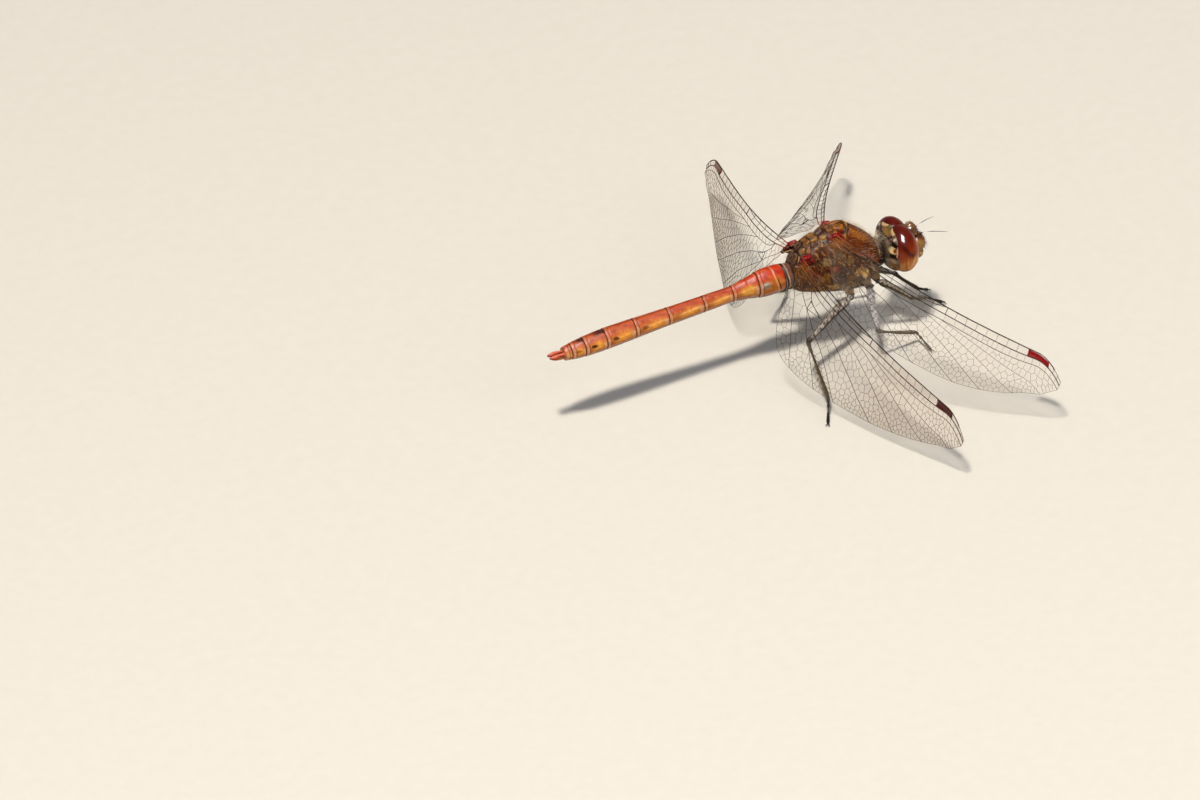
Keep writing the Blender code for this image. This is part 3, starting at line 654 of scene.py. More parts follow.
def eye_pattern(x, y, z, *_):
    """Maroon on top, red brown behind, streaked orange below, and a dark rim along the temple."""
    waves = ripple(x * 1.5, np.abs(y), 0.3 * z, 0.75)
    lower = fall(-1.05, 0.25, z + 0.22 * waves - 0.25 * (x - 12.0))
    band = distance_to_line(x, z, ((12.35, -0.1), (12.05, -1.0)))
    smear = distance_to_line(x, z, ((11.35, 1.05), (11.65, 0.45), (12.1, 0.1)))
    return painted(
        "#7A2A02",
        ("#5C1200", rise(0.4, 1.6, z + 0.35 * (11.9 - x))),
        ("#3E0402", rise(1.2, 2.2, z) * rise(-0.6, 0.6, 11.6 - x)),
        ("#9A4408", rise(12.3, 13.2, x) * rise(-0.6, 0.4, z) * fall(0.8, 1.8, z) * 0.7),
        ("#BC7830", lower), ("#8A4410", lower * rise(-0.2, 0.9, waves) * 0.8),
        ("#DCA468", lower * bell(band, 0.14) * 0.8), ("#4E2812", fall(-2.35, -1.45, z)),
        # a dark smear painted just below the highlight
        ("#2C0200", bell(smear, 0.24) * rise(1.4, 2.1, np.abs(y)) * 0.85),
        ("#521408", blot(np.abs(x - eye_margin(y, z)), 0.1) * 0.7))


for hand, side in SIDES:
    sculpt("eye_%s_dome" % hand, 192, 144, halved_ball(side, lambda *_: 1.0), eye_pattern,
           eye_lens, "eye", "eye_" + hand)

# ---------------------------------------------------------------- face
# From the top: the vertex, a knob with three simple eyes round it; the domed frons; the clypeus in two
# shelves; the upper lip; the jaws at its sides and the cleft lower lip beneath. Rust brown to straw.
FRONS = ((13.78, 0.0, -0.42), (1.0, 1.42, 0.98))
CLYPEUS = ((13.61, 0.0, -1.38), (0.85, 1.45, 0.62))
MOUTH = ((12.9, 0.0, -2.1), (1.0, 1.45, 0.75))
VERTEX = ((13.38, 0.0, 0.98), (0.68, 0.8, 0.8))
# The simple eyes: centre and radius.
OCELLI = (((14.04, 0.0, 0.8), 0.17), ((13.62, 0.72, 0.8), 0.15), ((13.62, -0.72, 0.8), 0.15))
# Face cuticle: smooth, thinly waxed and even in tone, so that it shines where it turns to the light.
face_cuticle = cuticle("face_cuticle", 0.34, 0.4, 0.14, 0.25, 0.05, 0.008)


def frons_surface(t, angle):
    """A blunt dome with a groove down its middle."""
    x, y, z = ball_surface(*FRONS)(t, angle)
    groove = 0.1 * bell(y, 0.14) * rise(13.8, 14.3, x) * rise(-0.9, -0.3, z)
    return x - groove - 0.05 * bell(z + 1.0, 0.06) + 0.012 * ripple(x, y, z, 0.22), y, z


def clypeus_surface(t, angle):
    """Two shelves with a crease between them."""
    x, y, z = ball_surface(*CLYPEUS)(t, angle)
    crease = 0.05 * bell(z + 1.45, 0.055)
    return x - crease * rise(13.3, 13.8, x) + 0.05 * bell(z + 1.22, 0.1), y * (1 - crease), z


def mouth_surface(t, angle):
    """Upper lip in front, jaws at the sides and the lower lip below, cut by creases."""
    x, y, z = ball_surface(*MOUTH)(t, angle)
    lip_edge = 0.1 * bell(z + 2.3 - 0.12 * y * y, 0.06) * rise(13.0, 13.4, x)
    jaw = 0.1 * bell(x - 13.05, 0.06) * rise(0.7, 1.0, np.abs(y))
    cleft = 0.12 * bell(y, 0.06) * fall(-2.7, -2.4, z)
    return x - lip_edge, y * (1 - jaw), z + cleft


def vertex_surface(t, angle):
    """A knob with two blunt points."""
    x, y, z = ball_surface(*VERTEX)(t, angle)
    points = -0.06 * rise(1.4, 1.8, z) * np.cos(np.clip(y / 0.26, -2, 2) * math.pi)
    return x, y, z + points + 0.012 * ripple(x, y, z, 0.2)


frons = sculpt("frons_dome", 128, 96, frons_surface, lambda x, y, z, *_: painted(
    "#66300A",
    ("#8E6A36", rise(0.85, 1.3, np.abs(y)) * 0.8),
    ("#94703C", rise(14.45, 14.78, x) * 0.6),
    ("#98733E", fall(-1.2, -0.8, z)),
    ("#4A2410", rise(0.15, 0.45, z) * fall(14.0, 14.3, x)),
    ("#8A4A2A", fall(0.1, 0.34, np.hypot(np.abs(y) - 0.9, z + 0.2)) * 0.7)), face_cuticle, "face", "frons")
sculpt("clypeus_shelf", 128, 80, clypeus_surface, lambda x, y, z, *_: painted(
    "#A07C4A",
    ("#8E6A38", blot(np.abs(z + 1.45), 0.06)),
    ("#8A7A3C", blot(np.abs(np.abs(y) - 0.9), 0.2) * 0.5),
    ("#6A4420", fall(-1.98, -1.8, z))), face_cuticle, "face", "clypeus")
sculpt("mouth_lips_and_jaws", 128, 96, mouth_surface, lambda x, y, z, *_: painted(
    "#A88452",
    ("#7A4E24", blot(np.abs(z + 2.3 - 0.12 * y * y), 0.06) * rise(12.9, 13.3, x)),
    ("#2A1408", blot(np.abs(x - 13.05), 0.06) * rise(0.7, 1.0, np.abs(y))),
    ("#A8844E", fall(-2.5, -2.3, z)),
    ("#2A160A", blot(np.abs(y), 0.1) * fall(-2.7, -2.5, z)),
    ("#6A4A2A", fall(12.2, 12.5, x))), face_cuticle, "face", "mouthparts")
vertex = sculpt("vertex_knob", 72, 56, vertex_surface, lambda x, y, z, *_: painted(
    "#56341A",
    ("#7A562C", rise(1.3, 1.75, z) * 0.8),
    ("#34180C", fall(0.2, 0.6, z))), face_cuticle, "face", "vertex")
finish_piece(join([sculpt("ocellus", 32, 24, ball_surface(centre, (radius,) * 3), lambda x, y, z, t, angle: painted(
    "#8A5A2C", ("#2A120A", fall(0.25, 0.6, t)))) for centre, radius in OCELLI], "ocelli"), eye_lens, "eye")

# ---------------------------------------------------------------- feelers
# Two short stiff bristles of seven joints, of hard dark chitin, each in a socket above the frons: a stout
# first joint or two, then a fine whip.
FEELER_PATH = ((14.02, 0.5, 0.2), (14.3, 0.62, 0.62), (15.2, 1.02, 0.72), (16.75, 1.65, 0.52))
FEELER_RADII = ((0.0, 0.13), (0.05, 0.11), (0.09, 0.12), (0.16, 0.08), (0.2, 0.042), (0.5, 0.032), (0.8, 0.024),
                (1.0, 0.012))
# Feeler cuticle: hard and lacquer-like, a thin dark line with a fleck of light.
feeler_cuticle = cuticle("feeler_cuticle", 0.4, 0.2, 0.15, 0.2, 0.05, 0.004)
for hand, side in SIDES:
    sculpt("antenna_%s_whip" % hand, 20, 90, tube_surface(mirrored(FEELER_PATH, side), FEELER_RADII),
           lambda x, y, z, t, angle: painted("#1E120C", ("#6E4A2A", fall(0.02, 0.14, t))),
           feeler_cuticle, "antenna", "antenna_" + hand)

# ================================================================ abdomen
# Ten tubular segments that slide into one another; each ends behind in a pale polished rim with a dark
# line on either side. Red along the back, orange on the flank, greyish below, with dark side spots.
SEGMENT_LENGTHS = (0.9, 2.8, 2.7, 3.2, 3.9, 3.7, 3.2, 2.3, 1.4, 0.7)
ABDOMEN_START = 0.05
ABDOMEN_DROOP = math.radians(2.2)
# Distance from the root of the abdomen, half height and half width there.
ABDOMEN_SECTIONS = ((0.0, 1.25, 1.2), (1.5, 1.45, 1.35), (3.0, 1.44, 1.31), (4.6, 1.12, 1.0), (6.0, 0.88, 0.79),
                    (9.0, 0.86, 0.79), (12.0, 0.89, 0.87), (15.0, 0.94, 0.98), (18.0, 1.03, 1.1), (20.5, 1.06, 1.14),
                    (22.5, 0.98, 1.06), (24.0, 0.83, 0.88), (25.3, 0.6, 0.62))
# How far the abdomen's middle line is bowed up at a distance from its root.
ABDOMEN_ARCH = ((0.0, 0.06), (1.5, 0.15), (4.6, 0.2), (9.0, 0.16), (15.0, 0.14), (19.0, 0.11), (23.0, 0.02),
                (26.0, 0.0))
RIM_WIDTH = 0.38
RIM_LINE = 0.075
FOLD = RIM_WIDTH + 0.06
OVERLAP = 0.25
END_CAP = 0.012    # share of a segment's skin that closes each end
BACK_REDS = {1: "#6A3E2E", 2: "#B42E0C", 3: "#B0380F", 4: "#A8401C", 5: "#AC4622"}
HIND_RED = "#B25028"
# Side spots by segment: how far along and how high they lie, and their strength.
SIDE_SPOTS = {5: (0.72, 0.34, 0.3), 6: (0.72, 0.3, 0.7), 7: (0.7, 0.3, 0.9), 8: (0.6, 0.3, 1.0),
              9: (0.55, 0.28, 0.6)}
# Abdomen cuticle: smooth, lightly mottled and faintly waxed, a broad soft sheen along each tube.
abdomen_cuticle = cuticle("abdomen_cuticle", 0.4, 0.05, 0.18, 0.3, 0.05, 0.008)


def drooped(distance, y, z):
    """A point of the straight abdomen, tilted down about its root."""
    return (-distance * math.cos(ABDOMEN_DROOP) + z * math.sin(ABDOMEN_DROOP), y,
            -distance * math.sin(ABDOMEN_DROOP) + z * math.cos(ABDOMEN_DROOP))


def along_segment(number, length, t):
    """Distance from a segment's front edge; it is below 0 where the segment is tucked into the one ahead."""
    tuck = OVERLAP if number > 1 else 0.0
    return (length + tuck) * np.clip((t - END_CAP) / (1 - 2 * END_CAP), 0, 1) - tuck


def segment_surface(start, length, number):
    """One segment's tube: fine rims, side keels, a ridged back and a folded belly."""
    def surface(t, angle):
        cap = np.clip(np.minimum(t, 1 - t) / END_CAP, 0, 1)
        ahead = along_segment(number, length, t)
        behind = length - ahead
        above = np.sin(angle)
        crease = bell((ahead + OVERLAP) / (length + OVERLAP) - 0.45, 0.03)
        keel = 0.07 * np.maximum(0, above) ** 12 + 0.035 * bell(above - 0.22, 0.07) * (number < 8)
        belly = -0.16 * np.maximum(0, -above) ** 2 + 0.07 * bell(above + 0.8, 0.06)
        swell = (1 - 0.07 * fall(-OVERLAP, 0.25, ahead) * (number > 1) + 0.02 * bell(behind - 0.22, 0.16)
                 - 0.04 * bell(behind, 0.05) - 0.022 * bell(behind - FOLD, 0.05) + keel + belly
                 - 0.035 * crease * (number in (2, 3))) * cap
        high, wide = (curve([(s[0], s[k]) for s in ABDOMEN_SECTIONS], start + ahead) for k in (1, 2))
        return drooped(start + ahead, np.cos(angle) * wide * swell,
                       curve(ABDOMEN_ARCH, start + ahead) + above * high * swell)
    return surface


def segment_pattern(number, length):
    """Pigment of one segment from its front edge to its rear rim, round from the back to the belly, with a painted
    highlight along the flank of segments 3 to 6 and a painted glint on segment 2.
    """
    def pattern(x, y, z, t, angle):
        ahead = along_segment(number, length, t)
        behind = length - ahead
        u = ahead / length
        above = np.sin(angle)
        wander = 0.1 * ripple(u * length, angle, 0 * u, 1.3)
        back = rise(0.22, 0.82, above + wander)
        marks = [
            ("#A45C26", bell(above - 0.02, 0.22)), ("#A87A62", fall(-0.5, -0.1, above)),
            ("#74625A", fall(-0.85, -0.55, above)), ("#241816", fall(-0.98, -0.88, above)),
            (BACK_REDS.get(number, HIND_RED), back),
            ("#8A2A12", back * rise(0.0, 0.9, ripple(0.5 * u * length, 1.3 * angle, u, 0.9)) * 0.4),
            ("#C87A40", back * rise(0.1, 0.9, ripple(0.6 * u * length, 1.7 * angle, u, 1.4)) * 0.3)]
        if number >= 3:
            marks += (("#E0983C", (1 - back) * rise(-0.3, 0.1, above) * fall(0.1, 0.42, np.abs(u - 0.42)) * 0.8),
                      ("#D8A880", (1 - back) * rise(-0.35, 0.0, above) * bell(u - 0.08, 0.06) * 0.6))
        if number in (3, 4, 5, 6):
            # A painted highlight along the flank of the middle segments.
            gleam = bell(above - (0.44 - 0.14 * u), 0.05) * rise(0.02, 0.2, u) * fall(0.6, 0.88, u)
            marks.append(("#E2B482", gleam * (0.7 if number < 6 else 0.3)))
        if number == 3:
            marks.append(("#CE9440", fall(0.08, 0.26, np.abs(u - 0.42)) * rise(-0.2, 0.1, above) * (1 - back)))
        if number == 2:
            panel = (((u - 0.79) / 0.2) ** 4 + ((above - 0.18) / 0.36) ** 4) ** 0.25
            panel += 0.1 * ripple(u * 3, angle, u, 0.7)
            arc = u - 0.3 - 0.12 * above
            marks += (("#84705C", fall(0.8, 1.15, panel) * 0.9),
                      # a painted glint at the top of the grey panel
                      ("#D8CCBC", bell(oval(u, above, (0.78, 0.38), (0.14, 0.07)), 1) * 0.6),
                      ("#A85E20", rise(-0.45, -0.2, above) * fall(-0.05, 0.1, above) * rise(0.3, 0.45, u)),
                      ("#D09058", bell(arc, 0.03) * 0.8),
                      ("#2A1610", bell(arc + 0.07, 0.025) * rise(-0.6, -0.2, above) * (1 - back)))
        if number == 1:
            slant = u - 0.2 * above
            marks += (("#564440", 1 - 0.5 * back), ("#C0A084", bell(slant - 0.45, 0.06)),
                      ("#B8988A", bell(slant - 0.88, 0.05) * 0.8), ("#20120F", bell(slant - 0.7, 0.06)))
        if number in SIDE_SPOTS:
            place, height, strength = SIDE_SPOTS[number]
            tilt = (u - place) * length + 0.35 * (above - height)
            spot = oval(tilt, above, (0, height + 0.12 * tilt), (0.46, 0.2)) + 0.1 * ripple(u * length, angle, u, 0.4)
            upper = oval((u - place - 0.02) * length, above, (0, 0.84), (0.3, 0.12))
            marks += (("#481A0A", fall(0.45, 1.05, spot) * strength),
                      ("#8E2E12", fall(0.4, 1.1, upper) * strength * 0.7))
        if number in (8, 9):
            patch = rise(0.9, 0.975, above + 0.02 * ripple(u * 3, angle, u, 0.5))
            marks.append(("#1C0806", patch * fall(0.3, 0.62, u + 0.05 * wander) * 0.92))
        if number >= 4:
            marks.append(("#6A2414", rise(0.99, 0.999, above) * 0.5))
        rim = np.exp(-((behind - RIM_WIDTH / 2 - 0.03) / (RIM_WIDTH * 0.42)) ** 4)
        marks += (("#C89474", rim * (0.65 - 0.45 * back) * (number > 1)),
                  ("#1A0A06", fall(0.5 * RIM_LINE, 1.5 * RIM_LINE, behind) * (number < 10)),
                  ("#4E1E0E", bell(behind - FOLD, 0.045) * (0.75 - 0.25 * back) * (number > 1)),
                  ("#1A0A06", fall(-0.02, 0.05, ahead) * (number > 1)))
        return painted("#B06A30", *marks) * (1 + 0.05 * ripple(0.5 * u * length, angle * 2, u, 0.6))[:, None]
    return pattern


start = ABDOMEN_START
for number, length in enumerate(SEGMENT_LENGTHS, start=1):
    sculpt("abdomen_%02d_plate" % number, 112, int(40 + 22 * length), segment_surface(start, length, number),
           segment_pattern(number, length), abdomen_cuticle, "abdomen", "abdomen_%02d" % number)
    start += length

# ---------------------------------------------------------------- claspers
# Two upper claspers of red chitin, slightly club shaped with a dark tip, and one shorter, paler plate
# below them, all rooted in the last segment.
CLASPER_ROOT = start - 0.15
# Points of each path: distance from the root, aside and height.
CERCUS_PATH = ((0.0, 0.27, 0.1), (0.65, 0.32, 0.17), (1.3, 0.33, 0.14), (1.75, 0.28, 0.2))
CERCUS_RADII = ((0, 0.2), (0.3, 0.18), (0.62, 0.25), (0.82, 0.2), (1.0, 0.05))
EPIPROCT_PATH = ((0.0, 0.0, -0.3), (0.6, 0.0, -0.27), (1.25, 0.0, -0.2))
EPIPROCT_RADII = ((0, 0.24), (0.4, 0.22), (0.8, 0.17), (1, 0.08))


def clasper(name, rings, path, side, radii, flatten, pattern, node):
    """A clasper on the end of the abdomen."""
    path = [drooped(CLASPER_ROOT + distance, side * aside, height) for distance, aside, height in path]
    sculpt(name, 32, rings, tube_surface(path, radii, flatten), pattern, abdomen_cuticle, "abdomen", node)


for hand, side in SIDES:
    clasper("cercus_%s_clasper" % hand, 48, CERCUS_PATH, side, CERCUS_RADII, 0.9, lambda x, y, z, t, angle: painted(
        "#A8402C", ("#C86A50", rise(0.3, 0.8, np.sin(angle))), ("#3A1208", rise(0.86, 0.97, t)),
        ("#5A1C10", fall(-0.8, -0.3, np.sin(angle)))), "cercus_" + hand)
clasper("epiproct_plate", 40, EPIPROCT_PATH, 1, EPIPROCT_RADII, 1.25,
        lambda x, y, z, t, angle: painted("#C07C48", ("#5A2A12", rise(0.8, 0.96, t))), "epiproct")

# ================================================================ legs
# Six jointed legs: a stout coxa, a ring, the thigh, the shin, a three-jointed foot and two hooked claws.
# Black chitin with a pale stripe along the upper face and rows of stiff bristles below.
SHIN_RADIUS = 0.185
FOOT_RADIUS = 0.115
COXA_RADIUS = 0.46
COXA_ROOT = (-0.2, 0.65, 1.3)
CLAW_LENGTH = 0.42
CLAW_RADII = ((0, 0.055), (0.6, 0.04), (1, 0.012))
BRISTLE_RADIUS = 0.028
FLOOR_CLEARANCE = 0.035
# Radius and stripe of the thighs.
THIGHS = {"fore": (0.32, "#8E8478"), "mid": (0.35, "#BCB8BA"), "hind": (0.41, "#B4A89E")}
# Hip, knee, ankle and toe of each leg.
LEG_JOINTS = {
    "fore_right": ((8.9, -1.25, -2.85), (12.2, -1.9, -5.6), (14.6, 0.6, -7.7), (16.6, 0.3, -8.85)),
    "mid_right": ((7.85, -1.5, -3.15), (6.7, -5.6, -5.7), (11.2, -4.7, -7.8), (11.7, -7.0, -8.85)),
    "hind_right": ((5.8, -1.7, -3.35), (-0.5, -4.6, -5.1), (-1.5, -11.0, -7.8), (-3.0, -13.8, -8.85)),
    "fore_left": ((8.9, 1.25, -2.85), (12.5, 2.4, -5.2), (14.9, 2.4, -7.8), (16.3, 3.2, -8.85)),
    "mid_left": ((7.85, 1.5, -3.15), (6.9, 5.5, -5.6), (11.2, 5.2, -7.8), (11.9, 7.4, -8.85)),
    "hind_left": ((5.8, 1.7, -3.35), (-0.5, 5.0, -4.3), (3.4, 9.2, -7.9), (5.0, 11.8, -8.85)),
}
# Bristles of each part: length, number in a row, lean to the foot and seed.
THIGH_BRISTLES = (0.3, 9, 0.7, 3)
SHIN_BRISTLES = (0.75, 9, 0.9, 5)
FOOT_BRISTLES = (0.26, 6, 0.9, 7)
# Thickness along each part: (share of its length, share of its radius).
THIGH_PROFILE = ((0, 0.8), (0.045, 0.95), (0.075, 0.7), (0.12, 1.0), (0.35, 1.02), (0.7, 0.88), (0.93, 0.66),
                 (0.97, 0.74), (1.0, 0.5))
SHIN_PROFILE = ((0, 1.2), (0.05, 1.25), (0.1, 1.0), (0.6, 0.95), (0.96, 0.95), (1.0, 0.8))
FOOT_PROFILE = ((0, 1.2), (0.1, 1.3), (0.14, 0.85), (0.32, 1.15), (0.38, 0.8), (0.7, 1.0), (0.92, 1.25), (1.0, 1.0))
# Leg cuticle: dull near-black, its pale stripes broken into flakes.
leg_cuticle = cuticle("leg_cuticle", 0.46, 0.1, 0.35, 0.18, 0.04, 0.008)


def make_bristle():
    """A three-sided bristle of unit height and width, drawn up from a triangle in two pulls to a point."""
    select_only()
    bpy.ops.mesh.primitive_circle_add(vertices=3, radius=1.0, fill_type="NGON")
    bristle = bpy.context.active_object
    bpy.ops.object.mode_set(mode="EDIT")
    bpy.ops.mesh.select_all(action="SELECT")
    bpy.ops.mesh.extrude_region_move(TRANSFORM_OT_translate={"value": (0, 0, 0.5)})
    bpy.ops.transform.resize(value=(0.7, 0.7, 1.0))
    bpy.ops.mesh.extrude_region_move(TRANSFORM_OT_translate={"value": (0, 0, 0.5)})
    bpy.ops.mesh.merge(type="COLLAPSE")
    bpy.ops.object.mode_set(mode="OBJECT")
    face_outwards(bristle)
    points = read_points(bristle)
    faces = [tuple(face.vertices) for face in bristle.data.polygons]
    bpy.data.objects.remove(bristle)
    return points, faces


BRISTLE_POINTS, BRISTLE_FACES = make_bristle()
TUFT_PATCH = 0.003    # side of the patch of its own that each hair has in the coat's bake


def new_mesh(name, points, edges, faces):
    """A new piece with these points, in mm from the joint of thorax and abdomen."""
    mesh = bpy.data.meshes.new(name)
    mesh.from_pydata(((points + BODY_JOINT) * MM).tolist(), edges, faces)
    piece = bpy.data.objects.new(name, mesh)
    bpy.context.scene.collection.objects.link(piece)
    return piece


def grow(name, roots, directions, lengths, radius, bend, root_colour, tip_colour, patches=None):
    """One mesh of copies of the bristle, each standing on a root, leaning along its direction and bent."""
    directions = directions / np.linalg.norm(directions, axis=1)[:, None]
    helper = np.where(np.abs(directions[:, 2:]) > 0.9, (1.0, 0.0, 0.0), (0.0, 0.0, 1.0))
    side = np.cross(directions, helper)
    side /= np.linalg.norm(side, axis=1)[:, None]
    other = np.cross(directions, side)
    lengths = lengths[:, None, None]
    u, v, w = (BRISTLE_POINTS[None, :, k, None] for k in range(3))
    points = (roots[:, None, :] + radius * (u * side[:, None, :] + v * other[:, None, :])
              + (w - 0.04) * lengths * directions[:, None, :] + w ** 2 * lengths * np.array(bend))
    count = len(BRISTLE_POINTS)
    faces = [tuple(corner + count * k for corner in face) for k in range(len(roots)) for face in BRISTLE_FACES]
    piece = new_mesh(name, points.reshape(-1, 3), [], faces)
    blend = np.tile(BRISTLE_POINTS[:, 2], len(roots))[:, None]
    paint(piece, linear(root_colour) * (1 - blend) + linear(tip_colour) * blend)
    if patches is not None:
        layer = piece.data.uv_layers.new(name="OFBake")
        corners = np.empty(len(piece.data.loops), dtype=np.int32)
        piece.data.loops.foreach_get("vertex_index", corners)
        local = BRISTLE_POINTS[corners % count]
        spread = np.stack((0.5 + 0.5 * local[:, 0], local[:, 2]), axis=1) * TUFT_PATCH
        layer.data.foreach_set("uv", (patches[corners // count] + spread).ravel())
    return piece


def limb_frame(start, end):
    """Direction of a limb, the upper side across it and the level side."""
    along = (end - start) / np.linalg.norm(end - start)
    upper = np.array((0, 0, 1.0)) - along[2] * along
    upper /= np.linalg.norm(upper)
    return along, upper, np.cross(along, upper)


def bristle_rows(start, end, radius, length, count, lean, seed):
    """Two rows of bristles down the lower side of a limb, leaning to the foot."""
    along, upper, level_side = limb_frame(start, end)
    rng = np.random.default_rng(seed)
    roots, directions, lengths = [], [], []
    for side in (-1, 1):
        for k in range(count):
            share = 0.12 + 0.84 * (k + 0.3 * rng.random()) / count
            out = level_side * side * 0.9 - upper * 0.55
            roots.append(start + (end - start) * share + out * radius * 0.8)
            directions.append(out + along * lean)
            lengths.append(length * (0.75 + 0.4 * math.sin(math.pi * share)))
    return grow("bristles", np.array(roots), np.array(directions), np.array(lengths), BRISTLE_RADIUS, (0, 0, 0),
                "#120C08", "#1A120C")


def limb(path, radius, profile, stripe, stripe_width):
    """A part of a leg with its broken pale stripe."""
    def pattern(x, y, z, t, angle):
        band = (fall(0.5, 1.3, np.abs(np.sin(angle) - 0.6) / stripe_width) * rise(0.04, 0.1, t) * fall(0.86, 0.95, t)
                * rise(-0.7, 0.4, ripple(t * 16, 1.5 * np.cos(angle), 0 * t, 1.1)))
        return painted("#1A120D", (stripe, band),
                       ("#5A4A38", fall(0.5, 1.3, np.abs(np.sin(angle) + 0.55) / 0.16) * 0.6))
    return sculpt("limb", 32, 64, tube_surface(path, [(share, radius * size) for share, size in profile]), pattern)


def finish_limb(parts, leg, part, node):
    """Join a part of a leg with its bristles and claws and finish it."""
    finish_piece(join(parts, "leg_%s_%s" % (leg, part)), leg_cuticle, "leg", "leg_%s_%s" % (leg, node))


for leg, joints in LEG_JOINTS.items():
    hip, knee, ankle, toe = np.array(joints)
    thigh, stripe = THIGHS[leg.split("_")[0]]
    root = hip + COXA_ROOT * np.array((1, -np.sign(hip[1]), 1))
    coxa_radii = [(share, COXA_RADIUS * size) for share, size in ((0, 1.25), (0.5, 1.1), (0.8, 0.9))]
    sculpt("leg_%s_coxa_cone" % leg, 40, 40, tube_surface((root, hip), coxa_radii + [(1, thigh * 0.9)]),
           lambda x, y, z, t, angle: painted(
               "#7A5A3A", ("#B09A70", blot(np.abs(np.sin(angle) - 0.2), 0.3) * 0.7), ("#1C120C", rise(0.78, 0.9, t))),
           leg_cuticle, "leg", "leg_%s_coxa" % leg)

    along, upper, level_side = limb_frame(hip, knee)
    middle = (hip + knee) / 2 + upper * 0.025 * np.linalg.norm(knee - hip)
    femur = limb((hip - along * 0.1, middle, knee + along * 0.08), thigh, THIGH_PROFILE, stripe, 0.46)
    finish_limb([femur, bristle_rows(hip, knee, thigh * 0.9, *THIGH_BRISTLES)], leg, "thigh", "femur")

    along, upper, level_side = limb_frame(knee, ankle)
    tibia = limb((knee - along * 0.05, (knee + ankle) / 2 - upper * 0.06, ankle + along * 0.04), SHIN_RADIUS,
                 SHIN_PROFILE, "#8E7658", 0.16)
    finish_limb([tibia, bristle_rows(knee, ankle, SHIN_RADIUS, *SHIN_BRISTLES)], leg, "shin", "tibia")

    along, upper, level_side = limb_frame(ankle, toe)
    tip = toe - along * 0.1 + (0, 0, 0.02)
    parts = [limb((ankle, (ankle + tip) / 2 + upper * 0.03, tip), FOOT_RADIUS, FOOT_PROFILE, "#4A3828", 0.14),
             bristle_rows(ankle, tip, FOOT_RADIUS, *FOOT_BRISTLES)]
    for spread in (-1, 1):
        hook = [tip, tip + along * 0.22 + level_side * spread * 0.14 + upper * 0.06,
                tip + along * CLAW_LENGTH + level_side * spread * 0.22]
        hook[2][2] = max(hook[2][2], FLOOR_CLEARANCE - BODY_JOINT[2])
        hook[1][2] = max(hook[1][2], hook[2][2] + 0.1)
        parts.append(sculpt("claw", 12, 20, tube_surface(hook, CLAW_RADII),
                            lambda x, y, z, t, angle: painted("#20140C", ("#6A3A1A", rise(0.5, 0.9, t)))))
    finish_limb(parts, leg, "foot", "tarsus")

# ================================================================ hairs
# Fine hairs, most of them pale: dense on the front of the thorax and sparse on the rest of it, in a fringe on
# the neck lobe, and on the nape, face and vertex. Real ones are thinner: these are as coarse as it takes to show.
HAIR_RADIUS = 0.01
# Body hair: thin translucent chitin that takes a pale edge of light.
hair_chitin, shader = new_material("body_hair_chitin", {"Roughness": 0.45, "Sheen Weight": 0.3})
pigment = add_node(hair_chitin, "ShaderNodeAttribute", (("attribute_name", "pigment"),))
link(hair_chitin, pigment, "Color", shader, "Base Color")


def hair_coat(name, skin, slot, seed, count, length, lean, root_colour, tip_colour, chance_of):
    """Hairs rooted on points of a skin picked by a chance for each point, leaning along a direction."""
    x, y, z = points_of(skin)
    rng = np.random.default_rng(seed)
    chance = np.maximum(chance_of(x, y, z), 0) + 1e-12
    picked = rng.choice(len(x), count, replace=False, p=chance / chance.sum())
    roots = np.stack((x, y, z), axis=1)[picked]
    directions = read_points(skin, "normal")[picked] + np.array(lean) + rng.normal(0, 0.22, (count, 3))
    lengths = length * rng.uniform(0.55, 1.15, count)
    angle = np.arctan2(z[picked] - z.mean(), y[picked] - y.mean())
    share = (x[picked] - x.min()) / (x.max() - x.min())
    patches = 0.02 + 0.95 * np.stack((angle / (2 * math.pi) + 0.5, share), axis=1)
    coat = grow(name, roots, directions, lengths, HAIR_RADIUS, (-0.05, 0.0, -0.1), root_colour, tip_colour, patches)
    finish_piece(coat, hair_chitin, slot)


hair_coat("thorax_hair", thorax, "thorax", 31, 1150, 0.7, (0.05, 0, 0.15), "#8A6438", "#DCC494",
          lambda x, y, z: rise(5.6, 7.5, x) * rise(-1.2, 0.4, z) + 0.25 * rise(-2.6, -1.8, -z) * (x < 8.5)
          + 0.1 * rise(0.5, 1.5, x) * (np.abs(y) < 1.1) * (z > 2.2) + 0.03)
hair_coat("neck_fringe", prothorax, "thorax", 37, 70, 0.95, (-0.25, 0, 0.5), "#D8C49C", "#FAF2DC",
          lambda x, y, z: (np.abs(x - LOBE) < 0.22) * rise(-0.2, 0.5, z))
hair_coat("nape_hair", capsule, "head", 41, 90, 0.55, (-0.5, 0, 0.3), "#D0BE98", "#F6EED8",
          lambda x, y, z: (x < 10.6) * (rise(0.6, 1.2, z) + 0.3 * rise(-2.0, -1.2, -z) * (z < -0.8)))
hair_coat("face_hair", frons, "face", 43, 220, 0.42, (0.1, 0, 0.15), "#4A3424", "#8A7454",
          lambda x, y, z: rise(13.9, 14.4, x) + 0.4 * (z > 0))
hair_coat("vertex_hair", vertex, "face", 47, 90, 0.4, (0.2, 0, 0.4), "#8A7452", "#E0D0AC",
          lambda x, y, z: rise(0.9, 1.4, z))

# ================================================================ wings
# Each wing is a clear brittle membrane stretched on a net of dark hollow veins: straight strong ones
# along the front, finer ones fanning back and small cells between them, with a red cell near the tip.
TIP_SETBACK = 1.5
TIP_START = 0.88
FRONT_EDGE_BOW = 0.65
TRAILING_SHARE_OF_SETBACK = 0.4
